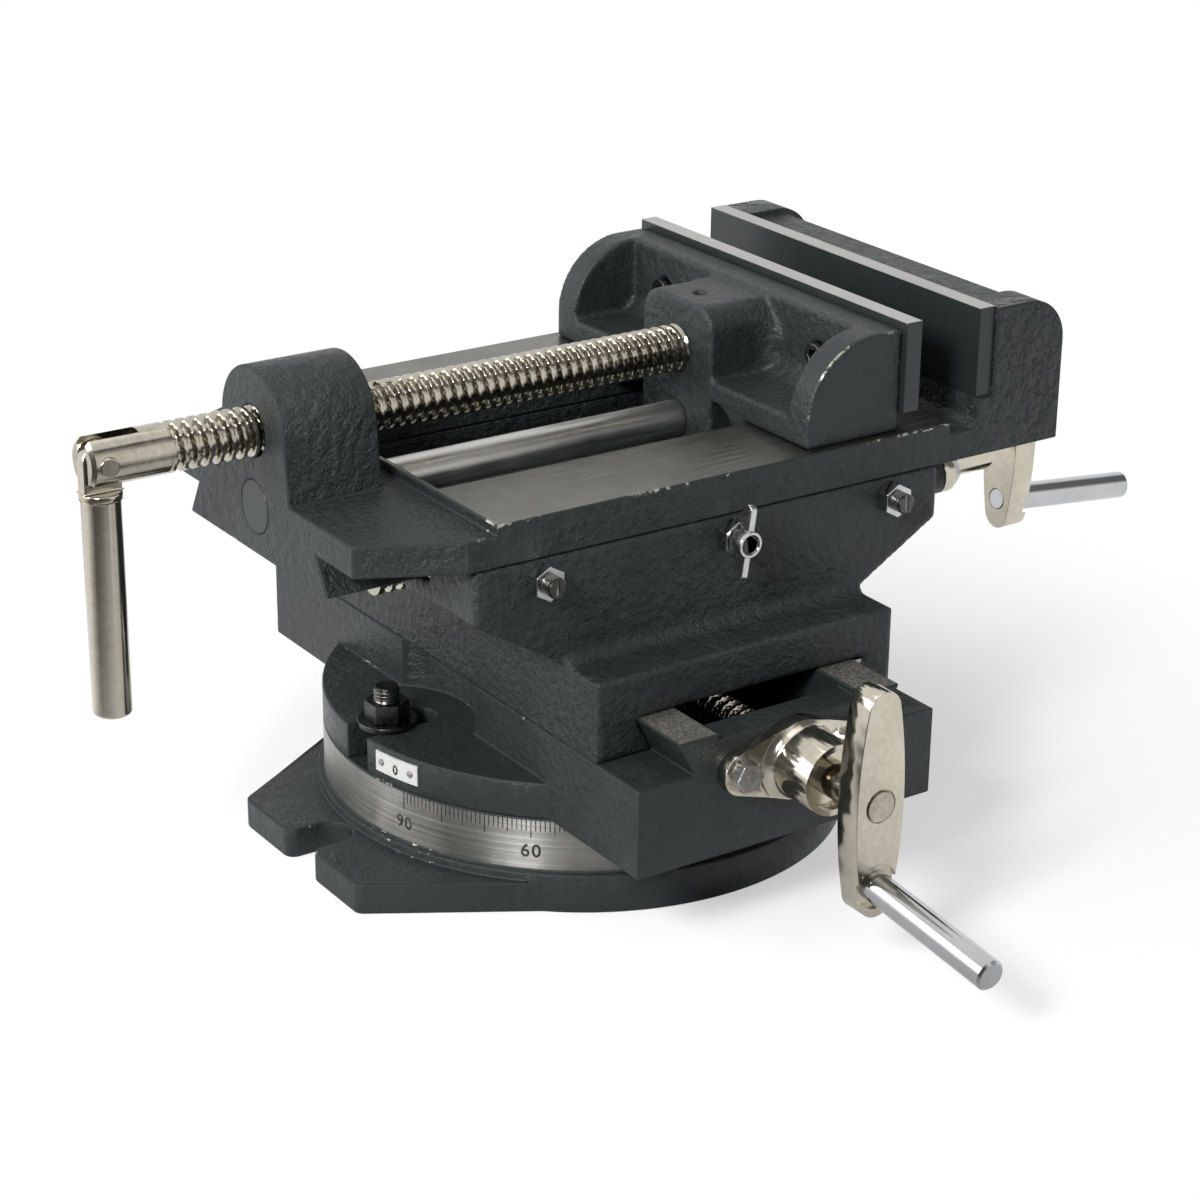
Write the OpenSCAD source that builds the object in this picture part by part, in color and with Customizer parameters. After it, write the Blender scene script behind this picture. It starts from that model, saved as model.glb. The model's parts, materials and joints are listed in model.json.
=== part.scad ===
// Cross slide vise: a swivel base, two crossed dovetail slides and a screw vise on top.
// Millimetres. The origin is on the swivel axis at the underside of the base.
// +X runs along the cross slide to its crank, +Y along the vise screw to the fixed jaw, +Z is up.

/* [Jaws] */
// Width of both jaw plates
jaw_w = 150; // [136:1:152]
// Height of a jaw plate
jaw_plate_h = 30.5; // [26:0.5:34]
// Thickness of a jaw plate
jaw_plate_t = 6.4; // [5:0.2:8]
// Gap between the ways and the lower edge of a plate
jaw_plate_lift = 6.4; // [4:0.2:8]
// Opening between the plates as drawn
jaw_gap = 24.3; // [18:0.1:32]
// Depth of the moving jaw casting behind its plate
moving_jaw_d = 37.3; // [35:0.1:42]
// Thickness of the end cheeks of the moving jaw
cheek_t = 11; // [8:0.5:14]
// Rear corner radius of those cheeks
cheek_r = 26; // [16:1:28]
// Depth of the fixed jaw from its plate face to the end of the bed
fixed_jaw_d = 36; // [33:0.5:40]
// Drop of the fixed jaw's cheeks below the top of its plate
cheek_drop = 0.5; // [0:0.1:2]

/* [Bed] */
// Width of the bed, flush with the saddle
bed_w = 153; // [150:1:160]
// Distance from the swivel axis to the screw end of the bed
bed_tail = 123; // [118:1:128]
// Distance from the swivel axis to the fixed jaw end of the bed
bed_head = 141; // [138:1:146]
// Thickness of the bed from its sliding face to the ways
bed_t = 13.7; // [13:0.1:16]
// Width of the bed where its screw end is narrowest
tail_w = 123; // [110:1:130]
// Distance from the swivel axis to the start of the machined ways
way_tail = 82; // [80:1:86]
// Step from the rough tail up to the machined ways
way_step = 3.3; // [2:0.1:4]
// Width of the channel between the ways
channel_w = 79; // [70:1:84]
// Width of the dovetail under the bed, at its wide lower edge
bed_dovetail_w = 90.6; // [84:0.2:96]
// Height of the dovetail under the bed
bed_dovetail_h = 12; // [11:0.5:13]

/* [Saddle] */
// Length of the lower saddle flange, along the cross slide
saddle_l = 190; // [180:1:196]
// Overhang of the upper saddle block past the swivel flange, at each end
saddle_overhang = 0.7; // [0:0.1:2]
// Height of the lower saddle flange
saddle_flange_h = 27; // [25:0.5:29]
// Height of the whole saddle
saddle_h = 64; // [62:0.5:68]
// Height of the upright band at the ends of the upper block
saddle_band_h = 18; // [16:0.5:22]

/* [Lower slide] */
// Width of the lower slide and of the saddle flange
slide_w = 115; // [110:1:120]
// Distance from the swivel axis to the crank end of the lower slide
slide_end = 117.5; // [114:0.5:121]
// Distance from the swivel axis to the plain end of the lower slide
slide_tail = 113.5; // [108:0.5:118]
// Height of the lower slide from the swivel face to its shoulders
slide_h = 30; // [29:0.5:34]
// Width across the top of the two rails
rail_w = 85.6; // [80:0.2:90]
// Height of the rails above the shoulders
rail_h = 12; // [11:0.5:13]
// Width of the trough between the rails
trough_w = 55.4; // [52:0.2:58]
// Thickness of the round swivel flange
flange_t = 12.5; // [10:0.5:14]
// Angle of both dovetails from the horizontal
dovetail_a = 62; // [58:1:66]
// Thickness of a gib strip, measured level
gib_w = 4; // [3:0.1:5]

/* [Base] */
// Radius of the graduated ring
ring_r = 88.8; // [86:0.2:90.6]
// Height of the base up to the swivel face
base_h = 32; // [30:0.5:36]
// Radius of the base disc below the ring
base_r = 91; // [90.8:0.2:94]
// Height of the base disc
base_disc_h = 13.5; // [12:0.5:15]
// Thickness of the two ears
ear_t = 10.5; // [8:0.5:12]
// Distance from the swivel axis to the edge of an ear
ear_reach = 111; // [106:1:116]
// Width of an ear at its edge
ear_w = 79; // [70:1:86]
// Corner radius of an ear
ear_corner_r = 4; // [2:0.5:6]
// Width of the clamping slot in an ear
slot_w = 15; // [12:0.5:18]
// Depth of that slot from the edge of the ear
slot_l = 19; // [14:0.5:22]
// Radius of the circle that the two swivel bolts run on
bolt_circle_r = 77; // [76:0.2:78]

/* [Screws] */
// Diameter of the vise screw over its thread
vise_screw_d = 16; // [14:0.5:17]
// Height of the vise screw above the ways
screw_rise = 15.2; // [14.5:0.1:17]
// Distance from the moving jaw to the handle pivot
screw_l = 211.5; // [205:0.5:220]
// Diameter of the guide rod under the vise screw
rod_d = 12.5; // [10:0.5:13]
// Depth of the guide rod's axis below the ways
rod_drop = 9.9; // [9.4:0.1:10.4]
// Diameter of the two lead screws over their threads
lead_screw_d = 12; // [10:0.5:12.5]
// Depth of the cross lead screw below the top of the rails
cross_screw_drop = 13.5; // [13.5:0.1:15]
// Depth of the long lead screw below the dovetail of the bed
long_screw_drop = 16.8; // [16.6:0.1:18]
// Length of the pivoted handle from its pivot to its end
handle_l = 83; // [70:1:90]
// Diameter of the handle
handle_d = 12.4; // [11:0.2:13]

/* [Cranks] */
// Length of a crank lever
lever_l = 75; // [68:1:80]
// Width of a crank lever at its middle
lever_w = 18; // [17:0.5:20]
// Thickness of a crank lever
lever_t = 9.5; // [8:0.5:11]
// Distance from the hub to the grip
crank_throw = 27; // [24:0.5:29]
// Length of a grip
grip_l = 55; // [45:1:60]
// Diameter of a grip
grip_d = 10; // [9:0.5:11]
// Angle by which a grip splays away from the hub's axis
grip_splay = 6; // [4:1:8]
// Reach of the cross bracket's barrel
cross_barrel_l = 23; // [20:1:26]
// Reach of the long bracket's barrel
long_barrel_l = 38; // [34:1:42]
// Clear length between a barrel and its lever
lever_standoff = 12; // [9:0.5:14]

/* [Fits] */
// Clearance between sliding faces
slide_gap = 0.1; // [0.05:0.01:0.2]
// Radial clearance of turning and sliding shafts
run_gap = 0.05; // [0.02:0.01:0.1]
// Play under seats that slide or swivel on one another
seat_gap = 0.05; // [0.02:0.01:0.1]

/* [Hidden] */
$fn = 72;
eps = 0.5;

CAST = [0.20, 0.22, 0.23];
STEEL = [0.58, 0.58, 0.56];
NICKEL = [0.78, 0.74, 0.66];
CHROME = [0.82, 0.83, 0.85];
ZINC = [0.70, 0.71, 0.72];
OXIDE = [0.13, 0.13, 0.13];
BRONZE = [0.62, 0.46, 0.24];
WHITE = [0.93, 0.93, 0.92];

// Levels, from the ground up
ring_z = base_h;
slide_z = ring_z + seat_gap;
flange_z = slide_z + flange_t;
shoulder_z = slide_z + slide_h;
rail_z = shoulder_z + rail_h;
saddle_z = shoulder_z + seat_gap;
ledge_z = saddle_z + saddle_flange_h;
seam_z = saddle_z + saddle_h;
bed_z = seam_z + seat_gap;
dovetail_z = bed_z - bed_dovetail_h;
way_z = bed_z + bed_t;
tab_z = way_z - way_step;
plate_z = way_z + jaw_plate_lift;
plate_top_z = plate_z + jaw_plate_h;
plate_proud = 2.5;
jaw_top_z = plate_top_z - plate_proud;
cheek_top_z = plate_top_z - cheek_drop;
boss_drop = 1.7;
boss_top_z = jaw_top_z - boss_drop;
screw_z = way_z + screw_rise;
rod_z = way_z - rod_drop;
cross_z = rail_z - cross_screw_drop;
long_z = dovetail_z - long_screw_drop;

// Places along the bed
fixed_face_y = bed_head - fixed_jaw_d;
fixed_seat_y = fixed_face_y + jaw_plate_t;
moving_face_y = fixed_face_y - jaw_gap;
moving_seat_y = moving_face_y - jaw_plate_t;
moving_rear_y = moving_seat_y - moving_jaw_d;
pivot_y = moving_rear_y - screw_l;
channel_land = 2;
channel_y0 = channel_land - way_tail;
channel_y1 = fixed_face_y - channel_land;
rod_wall = 3.8;
tongue_z = rod_z - rod_d/2 - rod_wall;
tongue_clear = 0.6;
channel_z = tongue_z - tongue_clear;
nut_block_d = 33;
tail_shoulder = 10;
taper_y = way_tail + tail_shoulder;
nut_block_wall = 12.5;
nut_block_flare = 3.5;
nut_block_r = vise_screw_d/2 + nut_block_wall;
nut_block_foot = nut_block_r + nut_block_flare;
groove_l = 11;
groove_d = 3.5;
groove_r = 3.2;
saddle_top_l = 2*(ring_r + saddle_overhang);
saddle_fillet_r = 5;

// Dovetails: half width lost from the wide edge to the narrow edge
rail_foot = rail_w/2 - rail_h/tan(dovetail_a);
bed_neck = bed_dovetail_w/2 - bed_dovetail_h/tan(dovetail_a);
dovetail_top_gap = 0.3;
gib_inset = 0.6;
gib_reach = slide_gap + gib_w;
gib_end = 1;

// Fasteners
m6_r = 3;
m6_nut_w = 10;
m6_nut_h = 5;
m8_r = 4;
m8_nut_w = 13;
m8_nut_h = 6.5;
washer_r = 10;
washer_t = 2;
hex_corner = 2/sqrt(3);
thread_gap = 0.05;
press_gap = 0.02;
play = 0.3;
screw_end_gap = 1;

// Swivel clamping
t_slot_clear = 0.8;
t_slot_half = m8_r + t_slot_clear;
t_slot_neck = 8;
t_head_w = 13;
t_head_h = 6;
t_cave_clear = 2;
t_cave_h = t_head_h + t_cave_clear;
t_cave_gap = 0.6;
t_cave_out = norm([bolt_circle_r + t_head_w/2, t_head_w/2]) + t_cave_gap;
t_cave_in = bolt_circle_r - t_head_w/2 - t_cave_gap;
t_bolt_slot_half = 6.2;
t_bolt_show = 5;
t_bolt_top = flange_z + washer_t + m8_nut_h + t_bolt_show;
pocket_r = 30;
pocket_reach = bolt_circle_r;
pivot_r = 10;
pivot_floor = 10;
pivot_bite = 7;
pivot_top = slide_z + pivot_bite;
t_bolt_slot_in = 8;
t_bolt_slot_y = slide_w/2 + t_bolt_slot_in;
entry_a = 16;
ear_root = 1.5;
slot_mouth_r = 4;
trough_clear = 2;
end_wall_drop = 2;

// Index plate on the swivel flange
index_a = -76;
index_span = 12.2;
index_t = 0.6;
index_h = 7;
index_drop = 9;
index_z = flange_z - index_drop;
index_pin_r = 0.8;
index_pin_a = 4.2;
index_pin_head = 0.5;
index_pin_head_r = 1.1;
index_pin_bite = 3;

// Brackets and cranks
bracket_t = 4.5;
barrel_wall = 5.8;
barrel_r = lead_screw_d/2 + barrel_wall;
barrel_rim = 2;
barrel_recess = 2.5;
bracket_rim = 1.5;
bracket_mid_r = barrel_r + bracket_rim;
bracket_end_r = 7;
bracket_bolt_d = 21.5;
bracket_fillet_r = 4;
bolt_spot_r = 5.8;
bolt_head_w = 9;
bolt_head_h = 4;
bolt_depth = 9;
collar_rise = 3.5;
collar_r = lead_screw_d/2 + collar_rise;
collar_l = 5;
collar_gap = 0.3;
end_wall = 12;
thread_end_gap = 6;
thread_chamfer = 1;
screw_clear = 1;
rivet_proud = 0.4;
journal_step = 0.3;
journal_r = lead_screw_d/2 - journal_step;
hub_r = 4.8;
hub_rim = 0.6;
lever_end_r = 6;
lever_mid = lever_l/2 - lever_end_r;
lever_arc_r = (lever_mid^2 + (lever_w/2)^2 - lever_end_r^2)/(lever_w - 2*lever_end_r);
lever_arc_fn = 360;
lever_tangent = lever_mid*(1 + lever_end_r/(lever_arc_r - lever_end_r));
spot_rim = 2.4;
spot_r = grip_d/2 + spot_rim;
spot_d = 1.4;
grip_seat = lever_t - spot_d;
stem_r = 2.6;
stem_head_r = 3.6;
stem_head_h = 1.4;
grip_chamfer = 0.8;
grip_play = 0.15;
long_mount_in = 6;
long_mount_y = bed_head - long_mount_in;
lug_t = 12;
lug_neck = 20;
cross_lever_x = slide_end + cross_barrel_l + lever_standoff;
long_lever_y = long_mount_y + long_barrel_l + lever_standoff;

// Nuts of the lead screws, held to the saddle
nut_l = 28;
nut_side = 10;
nut_half = lead_screw_d/2 + nut_side;
nut_side_gap = 0.6;
nut_screw_d = 11;
nut_screw_r = 2.5;
nut_hole_r = nut_screw_r + thread_gap;
nut_head_r = 4.2;
nut_head_h = 4;
nut_screw_bite = 8;
nut_wall = 5;
cross_roof_z = rail_z + dovetail_top_gap;
cross_nut_z = cross_z - lead_screw_d/2 - nut_wall;
long_floor_z = long_z - lead_screw_d/2 - nut_wall;
nut_crown = 2;
long_nut_z = long_z + lead_screw_d/2 + nut_wall + nut_crown;

// Gib adjusters and the wing screw
gib_screw_z = dovetail_z + bed_dovetail_h*0.42;
gib_screw_tail = 23.5;
gib_screw_head = 20.5;
gib_screw_ys = [gib_screw_tail - saddle_top_l/2, saddle_top_l/2 - gib_screw_head];
gib_stud = 9;
gib_slot_w = 1;
gib_slot_d = 1.6;
lock_y = 4.5;
lock_hub_r = 4.3;
lock_hub_l = 6;
lock_recess = 0.8;
lock_recess_r = 3.3;
wing_r = 12.5;
wing_w = 4.2;
wing_t = 2.4;
wing_tilt = 8;
cross_gib_screw_z = rail_z - rail_h*0.5;
cross_gib_screw_xs = [-60, 0, 60];
long_gib_x = bed_dovetail_w/2 + gib_reach - (gib_screw_z - m6_r - dovetail_z)/tan(dovetail_a);
cross_gib_y = rail_w/2 + gib_reach - (rail_z - cross_gib_screw_z - m6_r)/tan(dovetail_a);

// Handle
slot_clear = 0.3;
tongue_t = 5;
tongue_r = handle_d/2;
shoulder_gap = 1.5;
shoulder_drop = vise_screw_d/2 + shoulder_gap;
shoulder_h = 2.4;
shoulder_rim = 0.5;
shoulder_r = handle_d/2 + shoulder_rim;
slot_past = 6;
slot_root = tongue_r + slot_past;
fork_end = 5.4;
fork_chamfer = 1.2;
rivet_r = 2.5;
rivet_head_r = 3.2;
rivet_head_h = 1.2;
rivet_sink = 0.8;
rivet_seat = vise_screw_d/2 - rivet_sink;
handle_chamfer = 1;
screw_journal_step = 2;
screw_journal_r = vise_screw_d/2 - screw_journal_step;
screw_journal_l = 20;
screw_groove_y = 9.5;
screw_groove_w = 5;
screw_groove_d = 1.6;
retainer_r = 2.2;
retainer_sink = 2;

// Guide rod head on the end of the bed
rod_head_rim = 2.3;
rod_head_r = rod_d/2 + rod_head_rim;
rod_head_l = 6;
rod_bite = 12;

// Moving jaw
plate_overhang = 2;
moving_half = jaw_w/2 - plate_overhang;
shelf_t = 8.5;
shelf_z = way_z + shelf_t;
wall_t = 11.5;
wall_y = moving_seat_y - wall_t;
shelf_fillet_r = 8;
boss_wall = 12;
boss_half = vise_screw_d/2 + boss_wall;
boss_r = 9;
boss_fillet_r = 9;
fillet_sink = 0.15;
guide_half = channel_w/2 - slide_gap;
guide_h = 8;
arch_r = 15;
arch_rise = 1.6;

// Jaw plate screws
plate_screw_x = 44;
plate_screw_rise = 13.5;
plate_screw_z = plate_z + plate_screw_rise;
plate_screw_r = 2.5;
plate_screw_bite = 4.4;
plate_head_r = 4.2;
plate_head_h = 5;
plate_head_sink = 1.6;
plate_seat_t = 9;
moving_head_y = moving_seat_y - plate_seat_t;
socket_r = 2.4;
socket_d = 2.5;

// Fixed jaw
fixed_pocket = 12;
fixed_wall_y = bed_head - fixed_pocket;
fixed_cheek_t = 15;
fixed_cheek_r = 15;

// A box between two corners
module box(x0, x1, y0, y1, z0, z1) {
    translate([x0, y0, z0]) cube([x1 - x0, y1 - y0, z1 - z0]);
}

// Round bars along each axis
module bar_x(x0, x1, r, y, z) {
    translate([x0, y, z]) rotate([0, 90, 0]) cylinder(h = x1 - x0, r = r);
}
module bar_y(y0, y1, r, x, z) {
    translate([x, y0, z]) rotate([-90, 0, 0]) cylinder(h = y1 - y0, r = r);
}
module bar_z(z0, z1, r, x, y) {
    translate([x, y, z0]) cylinder(h = z1 - z0, r = r);
}

// Hexagons along each axis, given across the flats
module hex_x(x0, x1, w, y, z) {
    translate([x0, y, z]) rotate([0, 90, 0]) cylinder(h = x1 - x0, d = w*hex_corner, $fn = 6);
}
module hex_y(y0, y1, w, x, z) {
    translate([x, y0, z]) rotate([-90, 0, 0]) cylinder(h = y1 - y0, d = w*hex_corner, $fn = 6);
}
module hex_z(z0, z1, w, x, y) {
    translate([x, y, z0]) cylinder(h = z1 - z0, d = w*hex_corner, $fn = 6);
}

// A section drawn as (y, z) and run along X, and one drawn as (x, z) and run along Y
module run_x(x0, x1) {
    translate([x0, 0, 0]) rotate([90, 0, 90]) linear_extrude(x1 - x0) children();
}
module run_y(y0, y1) {
    translate([0, y1, 0]) rotate([90, 0, 0]) linear_extrude(y1 - y0) children();
}

// The outline of a belt round two circles
module belt(a, ra, b, rb) {
    d = norm(b - a);
    t = acos((ra - rb)/d);
    translate(a) rotate(atan2(b.y - a.y, b.x - a.x)) {
        circle(ra);
        translate([d, 0]) circle(rb);
        polygon([[ra*cos(t), ra*sin(t)], [d + rb*cos(t), rb*sin(t)],
                 [d + rb*cos(t), -rb*sin(t)], [ra*cos(t), -ra*sin(t)]]);
    }
}

// A dovetail section, wide at one level and narrow at another, about a centre line
module dovetail_section(wide, wide_z, narrow, narrow_z) {
    polygon([[-wide, wide_z], [wide, wide_z], [narrow, narrow_z], [-narrow, narrow_z]]);
}

// The groove for a dovetail and its gib: a sliding gap on one flank, room for the gib on the other
module dovetail_groove(wide, wide_z, narrow, narrow_z, roof) {
    slope = (wide - narrow)/(wide_z - narrow_z);
    roof_z = wide_z + roof;
    mouth_z = narrow_z - sign(roof)*eps;
    roof_half = wide + slope*roof;
    mouth_half = narrow - slope*sign(roof)*eps;
    polygon([[-roof_half - slide_gap, roof_z], [roof_half + gib_reach, roof_z],
             [mouth_half + gib_reach, mouth_z], [-mouth_half - slide_gap, mouth_z]]);
}

// The gib strip beside a dovetail flank
module gib_section(wide, wide_z, narrow, narrow_z) {
    slope = (wide - narrow)/(wide_z - narrow_z);
    inset = sign(wide_z - narrow_z)*gib_inset;
    inner_wide = wide - slope*inset + slide_gap;
    inner_narrow = narrow + slope*inset + slide_gap;
    polygon([[inner_wide, wide_z - inset], [inner_wide + gib_w, wide_z - inset],
             [inner_narrow + gib_w, narrow_z + inset], [inner_narrow, narrow_z + inset]]);
}

// The plan of the two square ears, drawn in to meet the base disc
module ears_plan() {
    corner_x = ear_w/2 - ear_corner_r;
    corner_y = ear_reach - ear_corner_r;
    for (sy = [-1, 1]) {
        for (sx = [-1, 1])
            belt([0, 0], base_r - ear_root, [sx*corner_x, sy*corner_y], ear_corner_r);
        belt([-corner_x, sy*corner_y], ear_corner_r, [corner_x, sy*corner_y], ear_corner_r);
        polygon([[0, 0], [-corner_x, sy*corner_y], [corner_x, sy*corner_y]]);
    }
}
// The open clamping slots of the ears, with rounded mouths
module slots_plan() {
    for (sy = [-1, 1]) translate([0, sy*(ear_reach - slot_l + slot_w/2)]) {
        circle(d = slot_w);
        translate([-slot_w/2, sy > 0 ? 0 : -slot_l]) square([slot_w, slot_l]);
    }
    for (sy = [-1, 1]) difference() {
        translate([-slot_w/2 - slot_mouth_r, sy > 0 ? ear_reach - slot_mouth_r : -ear_reach - eps])
            square([slot_w + 2*slot_mouth_r, slot_mouth_r + eps]);
        for (sx = [-1, 1])
            translate([sx*(slot_w/2 + slot_mouth_r), sy*(ear_reach - slot_mouth_r)]) circle(slot_mouth_r);
    }
}

// Swivel base with its graduated ring, its annular T-slot and its pivot bore
module swivel_base() {
    color(CAST) difference() {
        union() {
            linear_extrude(ear_t) ears_plan();
            cylinder(r = base_r, h = base_disc_h);
            cylinder(r = ring_r, h = ring_z);
        }
        translate([0, 0, -eps]) linear_extrude(base_disc_h + 2*eps) slots_plan();
        rotate_extrude() polygon([
            [bolt_circle_r - t_slot_half, ring_z + eps], [bolt_circle_r + t_slot_half, ring_z + eps],
            [bolt_circle_r + t_slot_half, ring_z - t_slot_neck], [t_cave_out, ring_z - t_slot_neck],
            [t_cave_out, ring_z - t_slot_neck - t_cave_h], [t_cave_in, ring_z - t_slot_neck - t_cave_h],
            [t_cave_in, ring_z - t_slot_neck], [bolt_circle_r - t_slot_half, ring_z - t_slot_neck]]);
        rotate(entry_a)
            bar_z(ring_z - t_slot_neck - eps, ring_z + eps, (t_cave_out - t_cave_in)/2 + eps,
                  (t_cave_out + t_cave_in)/2, 0);
        bar_z(pivot_floor, ring_z + eps, pivot_r + run_gap, 0, 0);
    }
}

// Lower slide: a round swivel flange, a long block and two dovetail rails with a trough between
module lower_slide() {
    color(CAST) difference() {
        union() {
            bar_z(slide_z, flange_z, ring_r, 0, 0);
            box(-slide_tail, slide_end, -slide_w/2, slide_w/2, slide_z, shoulder_z);
            run_x(-slide_tail, slide_end)
                dovetail_section(rail_w/2, rail_z, rail_foot, shoulder_z);
        }
        trough();
        for (s = [-1, 1]) {
            bar_z(flange_z, shoulder_z + eps, pocket_r, 0, s*pocket_reach);
            t_bolt_slot(s);
        }
        bar_z(slide_z - eps, pivot_top, pivot_r + press_gap, 0, 0);
        cross_bracket_holes();
        for (a = [-index_pin_a, index_pin_a])
            index_pin(a, ring_r - index_pin_bite, ring_r + eps, index_pin_r);
    }
}
module trough() {
    floor_z = cross_z - nut_half - trough_clear;
    wall_top = rail_z - end_wall_drop;
    box(end_wall - slide_tail, slide_end - end_wall, -trough_w/2, trough_w/2, floor_z, rail_z + eps);
    box(-slide_tail - eps, slide_end + eps, -trough_w/2, trough_w/2, wall_top, rail_z + eps);
}
module t_bolt_slot(s) {
    bar_z(slide_z - eps, flange_z + eps, t_bolt_slot_half, 0, s*t_bolt_slot_y);
    y0 = s > 0 ? t_bolt_slot_y : -ring_r - eps;
    box(-t_bolt_slot_half, t_bolt_slot_half, y0, y0 + ring_r + eps - t_bolt_slot_y,
        slide_z - eps, flange_z + eps);
}
module cross_bracket_holes() {
    bar_x(slide_end - end_wall - eps, slide_end + eps, lead_screw_d/2 + screw_clear, 0, cross_z);
    bar_x(slide_end - collar_l - collar_gap, slide_end + eps, collar_r + collar_gap, 0, cross_z);
    for (s = [-1, 1])
        bar_x(slide_end - bolt_depth, slide_end + eps, m6_r + thread_gap, s*bracket_bolt_d, cross_z);
}

// Pivot pin, pressed into the lower slide and turning in the base
module swivel_pivot() {
    color(STEEL) bar_z(pivot_floor + screw_end_gap, pivot_top, pivot_r, 0, 0);
}

// Swivel clamping: T-bolts in the ring's slot, washers and nuts on the flange
module swivel_t_bolts() {
    head_top = ring_z - t_slot_neck - slide_gap;
    color(OXIDE) for (s = [-1, 1]) translate([0, s*bolt_circle_r, 0]) {
        box(-t_head_w/2, t_head_w/2, -t_head_w/2, t_head_w/2, head_top - t_head_h, head_top);
        bar_z(head_top - eps, t_bolt_top, m8_r, 0, 0);
    }
}
module swivel_washers() {
    color(OXIDE) for (s = [-1, 1]) translate([0, s*bolt_circle_r, 0]) difference() {
        bar_z(flange_z, flange_z + washer_t, washer_r, 0, 0);
        bar_z(flange_z - eps, flange_z + washer_t + eps, m8_r + play, 0, 0);
    }
}
module swivel_nuts() {
    nut_z = flange_z + washer_t;
    color(OXIDE) for (s = [-1, 1]) translate([0, s*bolt_circle_r, 0]) difference() {
        hex_z(nut_z, nut_z + m8_nut_h, m8_nut_w, 0, 0);
        bar_z(nut_z - eps, nut_z + m8_nut_h + eps, m8_r + thread_gap, 0, 0);
    }
}

// Index plate, curved round the swivel flange, and its two pins
module index_plate() {
    color(WHITE) difference() {
        rotate(index_a - index_span/2) rotate_extrude(angle = index_span)
            translate([ring_r, index_z]) square([index_t, index_h]);
        for (a = [-index_pin_a, index_pin_a])
            index_pin(a, ring_r - eps, ring_r + index_t + eps, index_pin_r);
    }
}
module index_pin(a, r0, r1, r) {
    rotate(index_a + a) bar_x(r0, r1, r, 0, index_z + index_h/2);
}
module index_plate_pins() {
    color(STEEL) for (a = [-index_pin_a, index_pin_a]) {
        index_pin(a, ring_r - index_pin_bite, ring_r + index_t + index_pin_head/2, index_pin_r - press_gap);
        index_pin(a, ring_r + index_t, ring_r + index_t + index_pin_head, index_pin_head_r);
    }
}

// A screw bracket in its own frame: its mounting face at the origin and its barrel along +Z
module bracket(barrel_l) {
    difference() {
        union() {
            linear_extrude(bracket_t) bracket_plan();
            cylinder(r = barrel_r, h = barrel_l);
            intersection() {
                linear_extrude(bracket_t + bracket_fillet_r) bracket_plan();
                bracket_fillet();
            }
        }
        translate([0, 0, -eps]) cylinder(r = journal_r + run_gap, h = barrel_l + 2*eps);
        translate([0, 0, barrel_l - barrel_recess])
            cylinder(r = barrel_r - barrel_rim, h = barrel_recess + eps);
        for (s = [-1, 1]) translate([s*bracket_bolt_d, 0, 0]) {
            translate([0, 0, -eps]) cylinder(r = m6_r + play, h = bracket_t + 2*eps);
            translate([0, 0, bracket_t]) cylinder(r = bolt_spot_r, h = bracket_fillet_r + eps);
        }
    }
}
module bracket_fillet() {
    foot_r = barrel_r + bracket_fillet_r;
    rotate_extrude() difference() {
        translate([0, bracket_t - eps]) square([foot_r, bracket_fillet_r + eps]);
        translate([foot_r, bracket_t + bracket_fillet_r]) circle(bracket_fillet_r);
    }
}
module bracket_plan() {
    for (s = [-1, 1])
        belt([0, 0], bracket_mid_r, [s*bracket_bolt_d, 0], bracket_end_r);
}
module bracket_bolts() {
    for (s = [-1, 1]) translate([s*bracket_bolt_d, 0, 0]) {
        hex_z(bracket_t, bracket_t + bolt_head_h, bolt_head_w, 0, 0);
        bar_z(screw_end_gap - bolt_depth, bracket_t + eps, m6_r, 0, 0);
    }
}

// Frames of the two cranks: the cross one looks along +X, the long one along +Y
module at_cross(x) {
    translate([x, 0, cross_z]) rotate([90, 0, 90]) children();
}
module at_long(y) {
    translate([0, y, long_z]) rotate([90, 0, 180]) children();
}

// A lead screw in its own frame: its bracket's face at the origin, its crank end along +Z
module lead_screw(thread_l, barrel_l) {
    lever_z = barrel_l + lever_standoff;
    rotate_extrude() polygon([
        [0, -thread_l], [lead_screw_d/2 - thread_chamfer, -thread_l],
        [lead_screw_d/2, thread_chamfer - thread_l],
        [lead_screw_d/2, -collar_l], [collar_r, -collar_l], [collar_r, -collar_gap],
        [journal_r, -collar_gap], [journal_r, lever_z], [hub_r, lever_z],
        [hub_r, lever_z + lever_t + rivet_proud], [0, lever_z + lever_t + rivet_proud]]);
}

// A crank lever in its own frame: its back on the origin, the grip's end towards -Y
module lever() {
    difference() {
        linear_extrude(lever_t) lever_plan();
        translate([0, 0, -eps]) cylinder(r = hub_r + thread_gap, h = lever_t + 2*eps);
        translate([0, 0, lever_t - hub_rim]) cylinder(r = hub_r + hub_rim, h = hub_rim + eps);
        at_grip() {
            translate([0, 0, -lever_t*2]) cylinder(r = stem_r + run_gap, h = lever_t*3);
            cylinder(r = spot_r, h = lever_t);
            translate([0, 0, -grip_seat - lever_t])
                cylinder(r = stem_head_r + play, h = lever_t + stem_head_h + play);
        }
    }
}
module lever_plan() {
    side_x = lever_arc_r - lever_w/2;
    intersection() {
        translate([side_x, 0]) circle(lever_arc_r, $fn = lever_arc_fn);
        translate([-side_x, 0]) circle(lever_arc_r, $fn = lever_arc_fn);
        square([lever_w, 2*lever_tangent], center = true);
    }
    for (s = [-1, 1]) translate([0, s*lever_mid]) circle(lever_end_r);
}
// The grip's axis, splayed outwards, with its seat at the origin
module at_grip() {
    translate([0, -crank_throw, grip_seat]) rotate([grip_splay, 0, 0]) children();
}

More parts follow.
